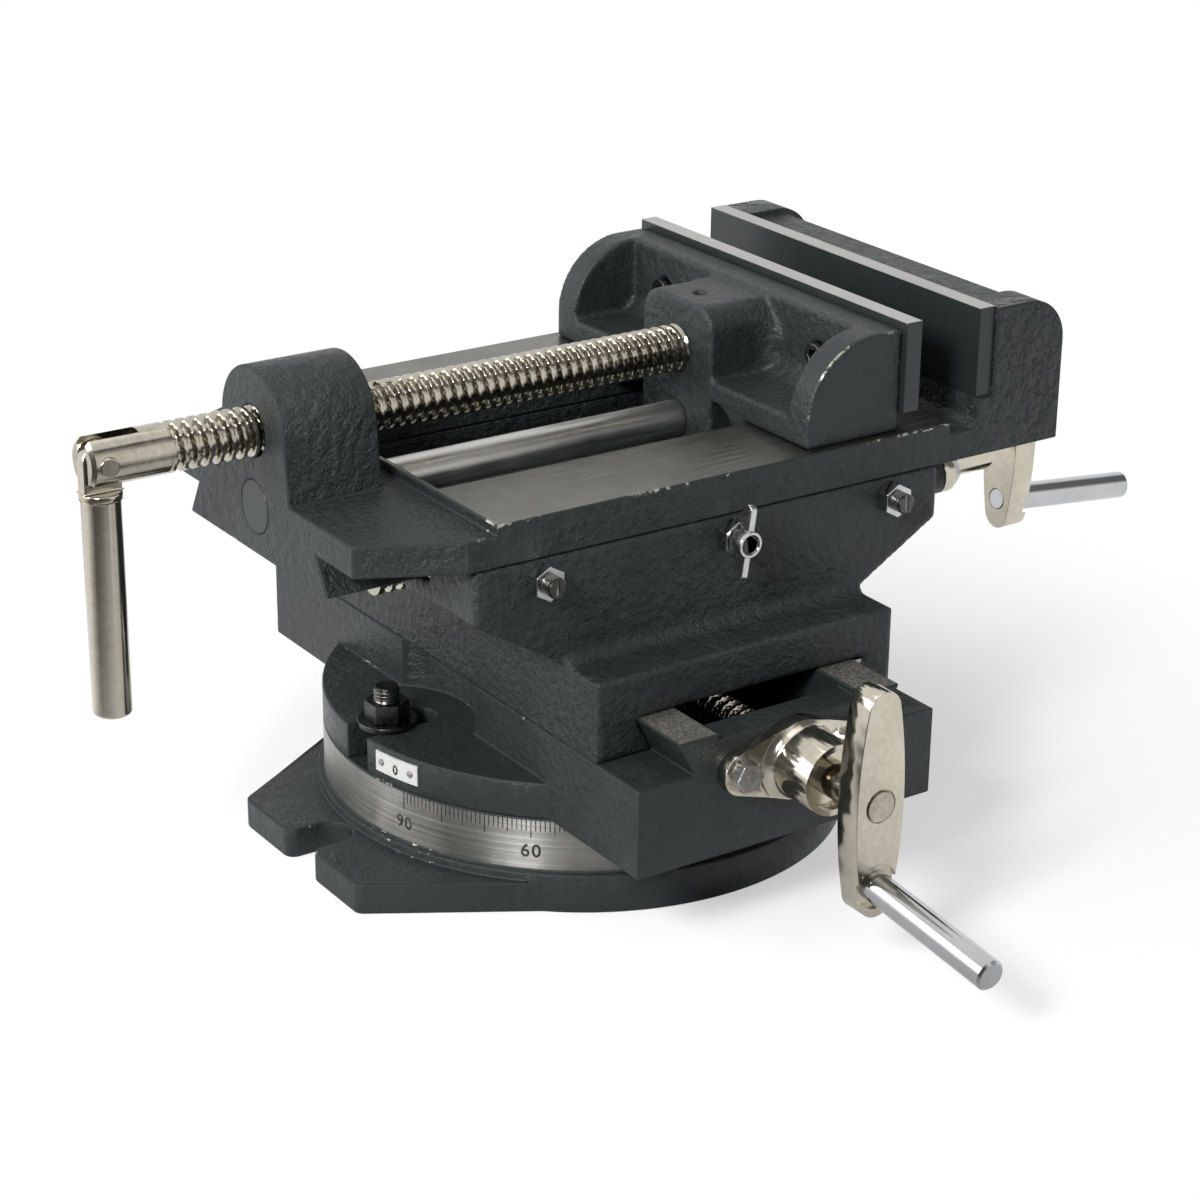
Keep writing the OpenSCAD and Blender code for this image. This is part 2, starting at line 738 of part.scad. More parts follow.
// A grip in its lever's frame: a plain bar on a stem that is riveted behind the lever
module grip() {
    at_grip() rotate_extrude() polygon([
        [0, -grip_seat], [stem_head_r, -grip_seat], [stem_head_r, stem_head_h - grip_seat],
        [stem_r, stem_head_h - grip_seat], [stem_r, grip_play], [grip_d/2, grip_play],
        [grip_d/2, grip_l - grip_chamfer], [grip_d/2 - grip_chamfer, grip_l], [0, grip_l]]);
}

// Cross slide drive
module cross_bracket() {
    color(NICKEL) at_cross(slide_end) bracket(cross_barrel_l);
}
module cross_bracket_bolts() {
    color(ZINC) at_cross(slide_end) bracket_bolts();
}
module cross_screw() {
    thread_l = slide_end + slide_tail - end_wall - thread_end_gap;
    color(NICKEL) at_cross(slide_end) lead_screw(thread_l, cross_barrel_l);
}
module cross_lever() {
    color(NICKEL) at_cross(cross_lever_x) lever();
}
module cross_grip() {
    color(CHROME) at_cross(cross_lever_x) grip();
}

// Long slide drive
module long_bracket() {
    color(NICKEL) at_long(long_mount_y) bracket(long_barrel_l);
}
module long_bracket_bolts() {
    color(ZINC) at_long(long_mount_y) bracket_bolts();
}
module long_screw() {
    thread_l = long_mount_y + way_tail;
    color(NICKEL) at_long(long_mount_y) lead_screw(thread_l, long_barrel_l);
}
module long_lever() {
    color(NICKEL) at_long(long_lever_y) lever();
}
module long_grip() {
    color(CHROME) at_long(long_lever_y) grip();
}

// Saddle: a flange on the rails below, a block with flared ends above, and a dovetail groove in each
module saddle() {
    color(CAST) difference() {
        union() {
            box(-saddle_l/2, saddle_l/2, -slide_w/2, slide_w/2, saddle_z, ledge_z);
            run_x(-bed_w/2, bed_w/2) polygon([
                [-slide_w/2, ledge_z - eps], [slide_w/2, ledge_z - eps], [slide_w/2, ledge_z],
                [saddle_top_l/2, seam_z - saddle_band_h], [saddle_top_l/2, seam_z],
                [-saddle_top_l/2, seam_z], [-saddle_top_l/2, seam_z - saddle_band_h],
                [-slide_w/2, ledge_z]]);
            run_y(-slide_w/2, slide_w/2) saddle_fillets();
        }
        run_x(-saddle_l/2 - eps, saddle_l/2 + eps)
            dovetail_groove(rail_w/2, rail_z, rail_foot, shoulder_z, dovetail_top_gap);
        run_y(-saddle_top_l/2 - eps, saddle_top_l/2 + eps)
            dovetail_groove(bed_dovetail_w/2, dovetail_z, bed_neck, bed_z, -dovetail_top_gap);
        box(-nut_half, nut_half, -saddle_top_l/2 - eps, saddle_top_l/2 + eps, long_floor_z, dovetail_z);
        for (y = concat(gib_screw_ys, [lock_y]))
            bar_x(bed_neck, bed_w/2 + eps, m6_r + thread_gap, y, gib_screw_z);
        for (x = cross_gib_screw_xs)
            bar_y(rail_foot, slide_w/2 + eps, m6_r + thread_gap, x, cross_gib_screw_z);
        for (s = [-1, 1]) {
            bar_z(cross_roof_z - eps, cross_roof_z + nut_screw_bite, nut_hole_r, 0, s*nut_screw_d);
            bar_z(long_floor_z - nut_screw_bite, long_floor_z + eps, nut_hole_r, s*nut_screw_d, 0);
        }
    }
}

// The hollow corners between the saddle's flange and its upper block
module saddle_fillets() {
    foot_half = bed_w/2 + saddle_fillet_r;
    difference() {
        translate([-foot_half, ledge_z - eps]) square([2*foot_half, saddle_fillet_r + eps]);
        for (s = [-1, 1]) translate([s*foot_half, ledge_z + saddle_fillet_r]) circle(saddle_fillet_r);
    }
}

// Nut of the cross lead screw, hung from the saddle, and its screws
module cross_nut() {
    color(BRONZE) difference() {
        box(-nut_l/2, nut_l/2, nut_side_gap - nut_half, nut_half - nut_side_gap, cross_nut_z, cross_roof_z);
        bar_x(-nut_l/2 - eps, nut_l/2 + eps, lead_screw_d/2 + run_gap, 0, cross_z);
        for (s = [-1, 1]) {
            bar_z(cross_nut_z - eps, cross_roof_z + eps, nut_hole_r, 0, s*nut_screw_d);
            bar_z(cross_nut_z - eps, cross_nut_z + nut_head_h, nut_head_r + thread_gap, 0, s*nut_screw_d);
        }
    }
}
module cross_nut_screws() {
    color(OXIDE) for (s = [-1, 1]) {
        bar_z(cross_nut_z, cross_nut_z + nut_head_h, nut_head_r, 0, s*nut_screw_d);
        bar_z(cross_nut_z + nut_head_h - eps, cross_roof_z + nut_screw_bite - screw_end_gap, nut_screw_r,
              0, s*nut_screw_d);
    }
}

// Nut of the long lead screw, standing in the saddle, and its screws
module long_nut() {
    color(BRONZE) difference() {
        box(nut_side_gap - nut_half, nut_half - nut_side_gap, -nut_l/2, nut_l/2, long_floor_z, long_nut_z);
        bar_y(-nut_l/2 - eps, nut_l/2 + eps, lead_screw_d/2 + run_gap, 0, long_z);
        for (s = [-1, 1]) {
            bar_z(long_floor_z - eps, long_nut_z + eps, nut_hole_r, s*nut_screw_d, 0);
            bar_z(long_nut_z - nut_head_h, long_nut_z + eps, nut_head_r + thread_gap, s*nut_screw_d, 0);
        }
    }
}
module long_nut_screws() {
    color(OXIDE) for (s = [-1, 1]) {
        bar_z(long_nut_z - nut_head_h, long_nut_z, nut_head_r, s*nut_screw_d, 0);
        bar_z(long_floor_z - nut_screw_bite + screw_end_gap, long_nut_z - nut_head_h + eps, nut_screw_r,
              s*nut_screw_d, 0);
    }
}

// Gib strips, one beside each dovetail
module cross_gib() {
    color(STEEL) run_x(gib_end - saddle_l/2, saddle_l/2 - gib_end)
        gib_section(rail_w/2, rail_z, rail_foot, shoulder_z);
}
module long_gib() {
    color(STEEL) run_y(gib_end - saddle_top_l/2, saddle_top_l/2 - gib_end)
        gib_section(bed_dovetail_w/2, dovetail_z, bed_neck, bed_z);
}

// Gib adjusters: slotted studs against the gibs, each with a lock nut on the saddle's side
module long_gib_screws() {
    color(OXIDE) for (y = gib_screw_ys) difference() {
        bar_x(long_gib_x, bed_w/2 + gib_stud, m6_r, y, gib_screw_z);
        translate([bed_w/2 + gib_stud, y, gib_screw_z])
            cube([2*gib_slot_d, gib_slot_w, 3*m6_r], center = true);
    }
}
module long_gib_nuts() {
    color(ZINC) for (y = gib_screw_ys) difference() {
        hex_x(bed_w/2, bed_w/2 + m6_nut_h, m6_nut_w, y, gib_screw_z);
        bar_x(bed_w/2 - eps, bed_w/2 + m6_nut_h + eps, m6_r + thread_gap, y, gib_screw_z);
    }
}
module cross_gib_screws() {
    color(OXIDE) for (x = cross_gib_screw_xs) difference() {
        bar_y(cross_gib_y, slide_w/2 + gib_stud, m6_r, x, cross_gib_screw_z);
        translate([x, slide_w/2 + gib_stud, cross_gib_screw_z])
            cube([gib_slot_w, 2*gib_slot_d, 3*m6_r], center = true);
    }
}
module cross_gib_nuts() {
    color(ZINC) for (x = cross_gib_screw_xs) difference() {
        hex_y(slide_w/2, slide_w/2 + m6_nut_h, m6_nut_w, x, cross_gib_screw_z);
        bar_y(slide_w/2 - eps, slide_w/2 + m6_nut_h + eps, m6_r + thread_gap, x, cross_gib_screw_z);
    }
}

// Wing screw that locks the bed, and the nut it runs in
module wing_lock_nut() {
    color(ZINC) difference() {
        hex_x(bed_w/2, bed_w/2 + m6_nut_h, m6_nut_w, lock_y, gib_screw_z);
        bar_x(bed_w/2 - eps, bed_w/2 + m6_nut_h + eps, m6_r + thread_gap, lock_y, gib_screw_z);
    }
}
module wing_lock_screw() {
    hub_x = bed_w/2 + m6_nut_h + play;
    hub_end = hub_x + lock_hub_l;
    color(ZINC) translate([0, lock_y, gib_screw_z]) difference() {
        union() {
            bar_x(long_gib_x + play, hub_x + eps, m6_r, 0, 0);
            bar_x(hub_x, hub_end, lock_hub_r, 0, 0);
            rotate([-wing_tilt, 0, 0]) run_y(-wing_t/2, wing_t/2) translate([hub_x + lock_hub_l/2, 0])
                for (s = [-1, 1]) belt([0, 0], wing_w/2, [0, s*(wing_r - wing_w/2)], wing_w/2);
        }
        bar_x(hub_end - lock_recess, hub_end + eps, lock_recess_r, 0, 0);
        translate([hub_end - lock_recess, 0, 0]) rotate([wing_tilt, 0, 0])
            cube([2*gib_slot_d, gib_slot_w, 2*m6_r - gib_slot_w], center = true);
    }
}

// Vise bed: ways with a channel between them, a nut block, a fixed jaw and a dovetail below
module vise_bed() {
    color(CAST) difference() {
        union() {
            translate([0, 0, bed_z]) linear_extrude(tab_z - bed_z) bed_plan();
            box(-bed_w/2, bed_w/2, -way_tail, bed_head, bed_z, way_z);
            run_y(-bed_tail, bed_head)
                dovetail_section(bed_dovetail_w/2, dovetail_z, bed_neck, bed_z);
            run_y(-bed_tail, nut_block_d - bed_tail) nut_block_section();
            fixed_jaw();
            run_y(long_mount_y - lug_t, long_mount_y) lug_section();
        }
        box(-channel_w/2, channel_w/2, channel_y0, channel_y1, channel_z, way_z + eps);
        run_x(-bed_w/2 - eps, bed_w/2 + eps) groove_section();
        bar_y(-bed_tail - eps, nut_block_d - bed_tail + eps, vise_screw_d/2 + run_gap, 0, screw_z);
        bar_y(-bed_tail - eps, channel_y1 + rod_bite, rod_d/2 + press_gap, 0, rod_z);
        bar_y(-bed_tail - eps, rod_head_l - bed_tail, rod_head_r + press_gap, 0, rod_z);
        for (s = [-1, 1]) {
            bar_y(fixed_seat_y - eps, fixed_wall_y + eps, plate_screw_r + play,
                  s*plate_screw_x, plate_screw_z);
            bar_y(fixed_wall_y - plate_head_sink, fixed_wall_y + plate_head_h, plate_head_r + play,
                  s*plate_screw_x, plate_screw_z);
        }
        long_bracket_holes();
    }
}
module bed_plan() {
    polygon([[-tail_w/2, -bed_tail], [tail_w/2, -bed_tail], [bed_w/2, -taper_y], [bed_w/2, -way_tail],
             [-bed_w/2, -way_tail], [-bed_w/2, -taper_y]]);
}
module groove_section() {
    floor_z = way_z - groove_d;
    difference() {
        translate([fixed_face_y - groove_l, floor_z]) square([groove_l, groove_d + eps]);
        difference() {
            translate([fixed_face_y - groove_r, floor_z - eps]) square([groove_r + eps, groove_r + eps]);
            translate([fixed_face_y - groove_r, floor_z + groove_r]) circle(groove_r);
        }
    }
}
module nut_block_section() {
    translate([0, screw_z]) circle(nut_block_r);
    dovetail_section(nut_block_foot, bed_z, nut_block_r, screw_z);
}
module fixed_jaw() {
    box(-bed_w/2, bed_w/2, fixed_face_y, bed_head, way_z - groove_d, plate_z);
    wall_half = bed_w/2 - fixed_cheek_t + eps;
    box(-wall_half, wall_half, fixed_seat_y, fixed_wall_y, plate_z - eps, jaw_top_z);
    for (s = [-1, 1]) {
        x0 = s > 0 ? bed_w/2 - fixed_cheek_t : -bed_w/2;
        run_x(x0, x0 + fixed_cheek_t) fixed_cheek_section();
    }
}
module fixed_cheek_section() {
    cheek_d = bed_head - fixed_seat_y;
    cheek_h = cheek_top_z - bed_z;
    translate([fixed_seat_y, bed_z]) intersection() {
        square([cheek_d, cheek_h]);
        union() {
            square([cheek_d, cheek_h - fixed_cheek_r]);
            square([cheek_d - fixed_cheek_r, cheek_h]);
            translate([cheek_d - fixed_cheek_r, cheek_h - fixed_cheek_r]) circle(fixed_cheek_r);
        }
    }
}
module lug_section() {
    translate([0, long_z]) bracket_plan();
    translate([-lug_neck, long_z]) square([2*lug_neck, dovetail_z - long_z + eps]);
}
module long_bracket_holes() {
    bar_y(long_mount_y - lug_t - eps, long_mount_y + eps, lead_screw_d/2 + screw_clear, 0, long_z);
    bar_y(long_mount_y - collar_l - collar_gap, long_mount_y + eps, collar_r + collar_gap, 0, long_z);
    for (s = [-1, 1])
        bar_y(long_mount_y - bolt_depth, long_mount_y + eps, m6_r + thread_gap, s*bracket_bolt_d, long_z);
}

// Guide rod under the vise screw, with a head let into the end of the bed
module guide_rod() {
    color(STEEL) {
        bar_y(-bed_tail, channel_y1 + rod_bite, rod_d/2, 0, rod_z);
        bar_y(-bed_tail, rod_head_l - bed_tail, rod_head_r, 0, rod_z);
    }
}

// A jaw plate from a seat face, towards +Y or -Y, with two blind holes in its back
module jaw_plate(seat_y, dir) {
    y0 = dir > 0 ? seat_y : seat_y - jaw_plate_t;
    hole_y = dir > 0 ? seat_y - eps : seat_y - plate_screw_bite;
    difference() {
        box(-jaw_w/2, jaw_w/2, y0, y0 + jaw_plate_t, plate_z, plate_top_z);
        for (s = [-1, 1])
            bar_y(hole_y, hole_y + plate_screw_bite + eps, plate_screw_r + thread_gap,
                  s*plate_screw_x, plate_screw_z);
    }
}
module fixed_jaw_plate() {
    color(STEEL) jaw_plate(fixed_seat_y, -1);
}
module moving_jaw_plate() {
    color(STEEL) jaw_plate(moving_seat_y, 1);
}

// A socket screw of the plates in its own frame: its head's seat at the origin, the head along +Z
module plate_screw(shank_l) {
    difference() {
        union() {
            cylinder(r = plate_head_r, h = plate_head_h);
            translate([0, 0, -shank_l]) cylinder(r = plate_screw_r, h = shank_l + eps);
        }
        translate([0, 0, plate_head_h - socket_d]) cylinder(r = socket_r, h = socket_d + eps, $fn = 6);
    }
}
module fixed_jaw_screws() {
    head_y = fixed_wall_y - plate_head_sink;
    color(OXIDE) for (s = [-1, 1])
        translate([s*plate_screw_x, head_y, plate_screw_z]) rotate([-90, 0, 0])
            plate_screw(head_y - fixed_seat_y + plate_screw_bite - play);
}
module moving_jaw_screws() {
    color(OXIDE) for (s = [-1, 1])
        translate([s*plate_screw_x, moving_head_y, plate_screw_z]) rotate([90, 0, 0])
            plate_screw(moving_seat_y - moving_head_y + plate_screw_bite - play);
}

// Moving jaw: a foot on the ways, a back wall between two cheeks, a screw boss and a tongue on the rod
module moving_jaw() {
    foot_z = way_z + seat_gap;
    color(CAST) difference() {
        union() {
            run_y(moving_rear_y, moving_seat_y) foot_section(foot_z);
            run_x(-moving_half, moving_half) wall_section(foot_z);
            for (x0 = [-moving_half, moving_half - cheek_t]) run_x(x0, x0 + cheek_t) cheek_section(foot_z);
            run_y(moving_rear_y, moving_seat_y - eps) boss_section(foot_z);
            intersection() {
                translate([0, 0, foot_z]) linear_extrude(boss_top_z - foot_z) boss_root_plan();
                run_y(wall_y - boss_fillet_r - eps, moving_seat_y) boss_root_slope(foot_z);
            }
        }
        for (s = [-1, 1]) {
            bar_y(moving_head_y - eps, moving_seat_y + eps, plate_screw_r + play,
                  s*plate_screw_x, plate_screw_z);
            bar_y(wall_y - shelf_fillet_r, moving_head_y, plate_head_r + play,
                  s*plate_screw_x, plate_screw_z);
        }
        bar_y(moving_rear_y - eps, moving_seat_y + eps, rod_d/2 + run_gap, 0, rod_z);
        bar_y(moving_rear_y - eps, moving_rear_y + screw_journal_l + play, screw_journal_r + run_gap,
              0, screw_z);
        bar_z(screw_z, boss_top_z + eps, retainer_r + thread_gap, 0, moving_rear_y + screw_groove_y);
    }
}
// The foot across the ways, its guides in the channel, hollowed beside the tongue, and the tongue
module foot_section(foot_z) {
    difference() {
        union() {
            translate([-moving_half, foot_z]) square([2*moving_half, shelf_z - foot_z]);
            translate([-guide_half, way_z - guide_h]) square([2*guide_half, guide_h + shelf_t]);
        }
        for (s = [-1, 1]) translate([s*boss_half, foot_z + arch_rise - arch_r]) circle(arch_r);
    }
    translate([-boss_half, tongue_z]) square([2*boss_half, shelf_z - tongue_z]);
}
// The back wall, with a hollow corner above the shelf
module wall_section(foot_z) {
    corner_y = wall_y - shelf_fillet_r + fillet_sink;
    corner_z = shelf_z + shelf_fillet_r - fillet_sink;
    translate([wall_y, foot_z]) square([wall_t, jaw_top_z - foot_z]);
    difference() {
        translate([corner_y, foot_z]) square([shelf_fillet_r, corner_z - foot_z]);
        translate([corner_y, corner_z]) circle(shelf_fillet_r);
    }
}
module cheek_section(foot_z) {
    cheek_h = jaw_top_z - foot_z;
    translate([moving_rear_y, foot_z]) intersection() {
        square([moving_jaw_d, cheek_h]);
        union() {
            square([moving_jaw_d, cheek_h - cheek_r]);
            translate([cheek_r, 0]) square([moving_jaw_d - cheek_r, cheek_h]);
            translate([cheek_r, cheek_h - cheek_r]) circle(cheek_r);
        }
    }
}
module boss_section(foot_z) {
    translate([-boss_half, foot_z]) square([2*boss_half, boss_top_z - boss_r - foot_z]);
    translate([boss_r - boss_half, foot_z]) square([2*(boss_half - boss_r), boss_top_z - foot_z]);
    for (s = [-1, 1]) translate([s*(boss_half - boss_r), boss_top_z - boss_r]) circle(boss_r);
}
// The hollow corners where the boss runs into the wall, in plan
module boss_root_plan() {
    root_half = boss_half + boss_fillet_r - fillet_sink;
    root_y = wall_y - boss_fillet_r + fillet_sink;
    difference() {
        translate([-root_half, root_y]) square([2*root_half, boss_fillet_r]);
        for (s = [-1, 1]) translate([s*root_half, root_y]) circle(boss_fillet_r);
    }
}
// The slope, just inside the round of the boss, that ends those corners
module boss_root_slope(foot_z) {
    reach = boss_half + boss_top_z - boss_r*(2 - sqrt(2)) - 2*fillet_sink;
    polygon([[foot_z - reach, foot_z], [reach - foot_z, foot_z], [reach - boss_top_z, boss_top_z],
        [boss_top_z - reach, boss_top_z]]);
}

// Set screw that holds the vise screw in the moving jaw
module jaw_retaining_screw() {
    tip_z = screw_z + screw_journal_r - screw_groove_d + play;
    color(OXIDE) bar_z(tip_z, boss_top_z - retainer_sink, retainer_r, 0, moving_rear_y + screw_groove_y);
}

// Vise screw: a threaded bar with a journal in the jaw and a slotted round end for the handle
module vise_screw() {
    r = vise_screw_d/2;
    color(NICKEL) translate([0, 0, screw_z]) difference() {
        union() {
            bar_y(pivot_y - fork_end + fork_chamfer, moving_rear_y - play, r, 0, 0);
            translate([0, pivot_y - fork_end, 0]) rotate([-90, 0, 0])
                cylinder(h = fork_chamfer, r1 = r - fork_chamfer, r2 = r);
            bar_y(moving_rear_y - r, moving_rear_y + screw_journal_l, screw_journal_r, 0, 0);
        }
        translate([0, moving_rear_y + screw_groove_y - screw_groove_w/2, 0]) rotate([-90, 0, 0])
            rotate_extrude() translate([screw_journal_r - screw_groove_d, 0])
                square([screw_groove_d + eps, screw_groove_w]);
        box(-tongue_t/2 - slot_clear, tongue_t/2 + slot_clear, pivot_y - 2*r, pivot_y + slot_root,
            -2*r, 2*r);
        bar_x(-2*r, 2*r, rivet_r + press_gap, pivot_y, 0);
        bar_x(-2*r, -rivet_seat, rivet_head_r + press_gap, pivot_y, 0);
        bar_x(rivet_seat, 2*r, rivet_head_r + press_gap, pivot_y, 0);
    }
}

// Rivet that the handle swings on
module handle_rivet() {
    color(NICKEL) translate([0, pivot_y, screw_z]) {
        bar_x(-rivet_seat - eps, rivet_seat + eps, rivet_r, 0, 0);
        bar_x(rivet_seat, rivet_seat + rivet_head_h, rivet_head_r, 0, 0);
        bar_x(-rivet_seat - rivet_head_h, -rivet_seat, rivet_head_r, 0, 0);
    }
}

// Handle: a flat tongue in the screw's slot, a shoulder and a round bar
module handle_bar() {
    color(NICKEL) translate([0, pivot_y, screw_z]) difference() {
        union() {
            bar_x(-tongue_t/2, tongue_t/2, tongue_r, 0, 0);
            box(-tongue_t/2, tongue_t/2, -tongue_r, tongue_r, -shoulder_drop - eps, 0);
            rotate_extrude() polygon([
                [0, -handle_l], [handle_d/2 - handle_chamfer, -handle_l],
                [handle_d/2, handle_chamfer - handle_l], [handle_d/2, -shoulder_drop - shoulder_h],
                [shoulder_r, -shoulder_drop - shoulder_h], [shoulder_r, -shoulder_drop],
                [0, -shoulder_drop]]);
        }
        bar_x(-tongue_t, tongue_t, rivet_r + run_gap, 0, 0);
    }
}

swivel_base();
lower_slide();
swivel_pivot();
swivel_t_bolts();
swivel_washers();
swivel_nuts();
index_plate();
index_plate_pins();
cross_bracket();
cross_bracket_bolts();
cross_screw();
cross_lever();
cross_grip();
saddle();
cross_nut();
cross_nut_screws();
long_nut();
long_nut_screws();
cross_gib();
long_gib();
cross_gib_screws();
cross_gib_nuts();
long_gib_screws();
long_gib_nuts();
wing_lock_nut();
wing_lock_screw();
vise_bed();
guide_rod();
fixed_jaw_plate();
fixed_jaw_screws();
long_bracket();
long_bracket_bolts();
long_screw();
long_lever();
long_grip();
moving_jaw();
moving_jaw_plate();
moving_jaw_screws();
jaw_retaining_screw();
vise_screw();
handle_rivet();
handle_bar();
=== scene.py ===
# %% [markdown]
# # A cross slide vise, dressed for its portrait
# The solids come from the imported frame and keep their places. This script gives them paint, plating and
# bare ground steel, softens their edges, cuts real threads on the screws and marks the swivel scale.

# %% Load the frame
import json
import math

import bmesh
import bpy
import numpy as np
from mathutils import Matrix, Vector


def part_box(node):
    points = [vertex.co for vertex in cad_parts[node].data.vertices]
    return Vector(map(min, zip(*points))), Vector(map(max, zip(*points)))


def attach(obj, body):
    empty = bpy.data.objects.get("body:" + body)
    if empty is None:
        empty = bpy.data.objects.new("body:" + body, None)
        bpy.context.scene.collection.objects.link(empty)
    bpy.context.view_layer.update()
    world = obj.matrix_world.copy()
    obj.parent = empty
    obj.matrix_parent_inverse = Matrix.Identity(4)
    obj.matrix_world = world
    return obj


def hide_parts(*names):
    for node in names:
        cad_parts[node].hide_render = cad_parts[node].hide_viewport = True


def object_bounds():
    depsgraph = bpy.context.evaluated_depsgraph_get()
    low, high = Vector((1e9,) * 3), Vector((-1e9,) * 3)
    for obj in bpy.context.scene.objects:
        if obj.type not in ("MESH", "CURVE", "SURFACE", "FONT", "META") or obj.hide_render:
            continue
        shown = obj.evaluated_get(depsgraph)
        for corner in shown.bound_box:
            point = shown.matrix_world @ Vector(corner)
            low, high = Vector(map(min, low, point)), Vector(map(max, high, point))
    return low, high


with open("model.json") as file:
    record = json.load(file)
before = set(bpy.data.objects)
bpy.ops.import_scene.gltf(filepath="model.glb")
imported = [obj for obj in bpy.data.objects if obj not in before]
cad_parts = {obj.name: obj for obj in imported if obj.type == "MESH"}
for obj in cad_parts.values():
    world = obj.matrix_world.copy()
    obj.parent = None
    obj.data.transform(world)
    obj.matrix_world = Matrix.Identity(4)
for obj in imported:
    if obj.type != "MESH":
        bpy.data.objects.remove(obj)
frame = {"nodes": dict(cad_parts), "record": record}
CAD_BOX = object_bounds()
nodes = frame["nodes"]
MM = 0.001
print("CAD box in mm:", [[round(v / MM, 1) for v in corner] for corner in CAD_BOX])

# %% [markdown]
# ## Camera
# The photograph was taken from the crank's side, a little above. Its place and lens were solved from the
# vise's own straight edges, so the camera is written as a position, three angles and a focal length.

# %% Camera
CAMERA_PLACE = Vector((780.97, -522.87, 458.38)) * MM
CAMERA_AZIMUTH, CAMERA_ELEVATION, CAMERA_ROLL = (math.radians(v) for v in (55.83, 22.38, 0.65))
CAMERA_LENS_MM, CAMERA_SENSOR_MM = 89.68, 36.0
CAMERA_NEAR, CAMERA_FAR = 0.05, 50


def camera_axes(azimuth, elevation, roll):
    """Right, up and back directions of a camera that looks down its own -Z axis."""
    back = Vector((math.sin(azimuth) * math.cos(elevation), -math.cos(azimuth) * math.cos(elevation),
                   math.sin(elevation)))
    level = (-back).cross(Vector((0, 0, 1))).normalized()
    upright = level.cross(-back)
    right = level * math.cos(roll) + upright * math.sin(roll)
    up = upright * math.cos(roll) - level * math.sin(roll)
    return right, up, back


RIGHT, UP, BACK = camera_axes(CAMERA_AZIMUTH, CAMERA_ELEVATION, CAMERA_ROLL)
camera = bpy.data.objects.new("camera", bpy.data.cameras.new("camera"))
bpy.context.scene.collection.objects.link(camera)
camera.data.lens, camera.data.sensor_width = CAMERA_LENS_MM, CAMERA_SENSOR_MM
camera.data.clip_start, camera.data.clip_end = CAMERA_NEAR, CAMERA_FAR
camera.matrix_world = Matrix.Translation(CAMERA_PLACE) @ Matrix((RIGHT, UP, BACK)).transposed().to_4x4()
bpy.context.scene.camera = camera
print("camera", [round(v, 3) for v in CAMERA_PLACE])

# %% [markdown]
# ## Shader helpers
# Every finish here is procedural and reads Object coordinates, which are metres in the shared frame. A few
# short helpers keep the recipes readable: noise, mixing, arithmetic, masks that are 1 or 0, and a bump.

# %% Nodes, coordinates and noise
MIX_SOCKETS = {"FLOAT": (2, 3, 0), "VECTOR": (4, 5, 1), "RGBA": (6, 7, 2)}


def add_node(tree, kind, inputs=None, **settings):
    """A new shader node; an input value that is a socket is linked, any other is set."""
    made = tree.nodes.new(kind)
    for key, value in settings.items():
        setattr(made, key, value)
    for key, value in (inputs or {}).items():
        if isinstance(value, bpy.types.NodeSocket):
            tree.links.new(value, made.inputs[key])
        else:
            made.inputs[key].default_value = value
    return made


def new_finish(name):
    """An empty finish: its material, its node tree and its main shader."""
    material = bpy.data.materials.new(name)
    material.use_nodes = True
    return material, material.node_tree, material.node_tree.nodes["Principled BSDF"]


def object_coords(tree, stretch=None):
    """Object coordinates, multiplied by a stretch per axis when one is given."""
    where = add_node(tree, "ShaderNodeTexCoord").outputs["Object"]
    if stretch is None:
        return where
    return add_node(tree, "ShaderNodeMapping", {"Vector": where, "Scale": stretch}).outputs["Vector"]


def position(tree):
    """The x, y and z sockets of Object coordinates."""
    split = add_node(tree, "ShaderNodeSeparateXYZ", {"Vector": object_coords(tree)})
    return split.outputs["X"], split.outputs["Y"], split.outputs["Z"]


def noise(tree, where, scale, detail=2.0, rough=0.5):
    """Soft noise from 0 to 1 with about `scale` lumps to the metre."""
    made = add_node(tree, "ShaderNodeTexNoise",
                    {"Vector": where, "Scale": scale, "Detail": detail, "Roughness": rough})
    return made.outputs["Fac"]


def bump(tree, height, depth, strength=1.0, rest=None):
    """A normal from a height of 0 to 1 over a depth in metres, on the surface's normal or a given one."""
    inputs = {"Height": height, "Distance": depth, "Strength": strength}
    if rest is not None:
        inputs["Normal"] = rest
    return add_node(tree, "ShaderNodeBump", inputs).outputs["Normal"]


print("node helpers ready")

# %% [markdown]
# The other helpers do sums on sockets. A mask is a value of 1 where something holds and of 0 elsewhere, so
# the product of masks is 1 where all of them hold.

# %% Arithmetic, mixing and masks


def calc(tree, operation, a, b=0.0):
    """One arithmetic step on two values or sockets."""
    return add_node(tree, "ShaderNodeMath", {0: a, 1: b}, operation=operation).outputs[0]


def product(tree, first, *others):
    """Several values or masks multiplied together."""
    made = first
    for other in others:
        made = calc(tree, "MULTIPLY", made, other)
    return made


def sum_of_squares(tree, a, b):
    """The squares of two values added."""
    return calc(tree, "ADD", calc(tree, "MULTIPLY", a, a), calc(tree, "MULTIPLY", b, b))


def vector_calc(tree, operation, a, b=(0, 0, 0)):
    """One step on two vectors; a dot product and a length come out as numbers."""
    made = add_node(tree, "ShaderNodeVectorMath", {0: a, 1: b}, operation=operation)
    return made.outputs["Value" if operation in ("DOT_PRODUCT", "LENGTH") else "Vector"]


def spread(tree, value, low, high, to_low, to_high):
    """A value's range from low to high, carried to another range and held at its ends."""
    made = add_node(tree, "ShaderNodeMapRange", {"Value": value, "From Min": low, "From Max": high,
                                                 "To Min": to_low, "To Max": to_high})
    return made.outputs["Result"]


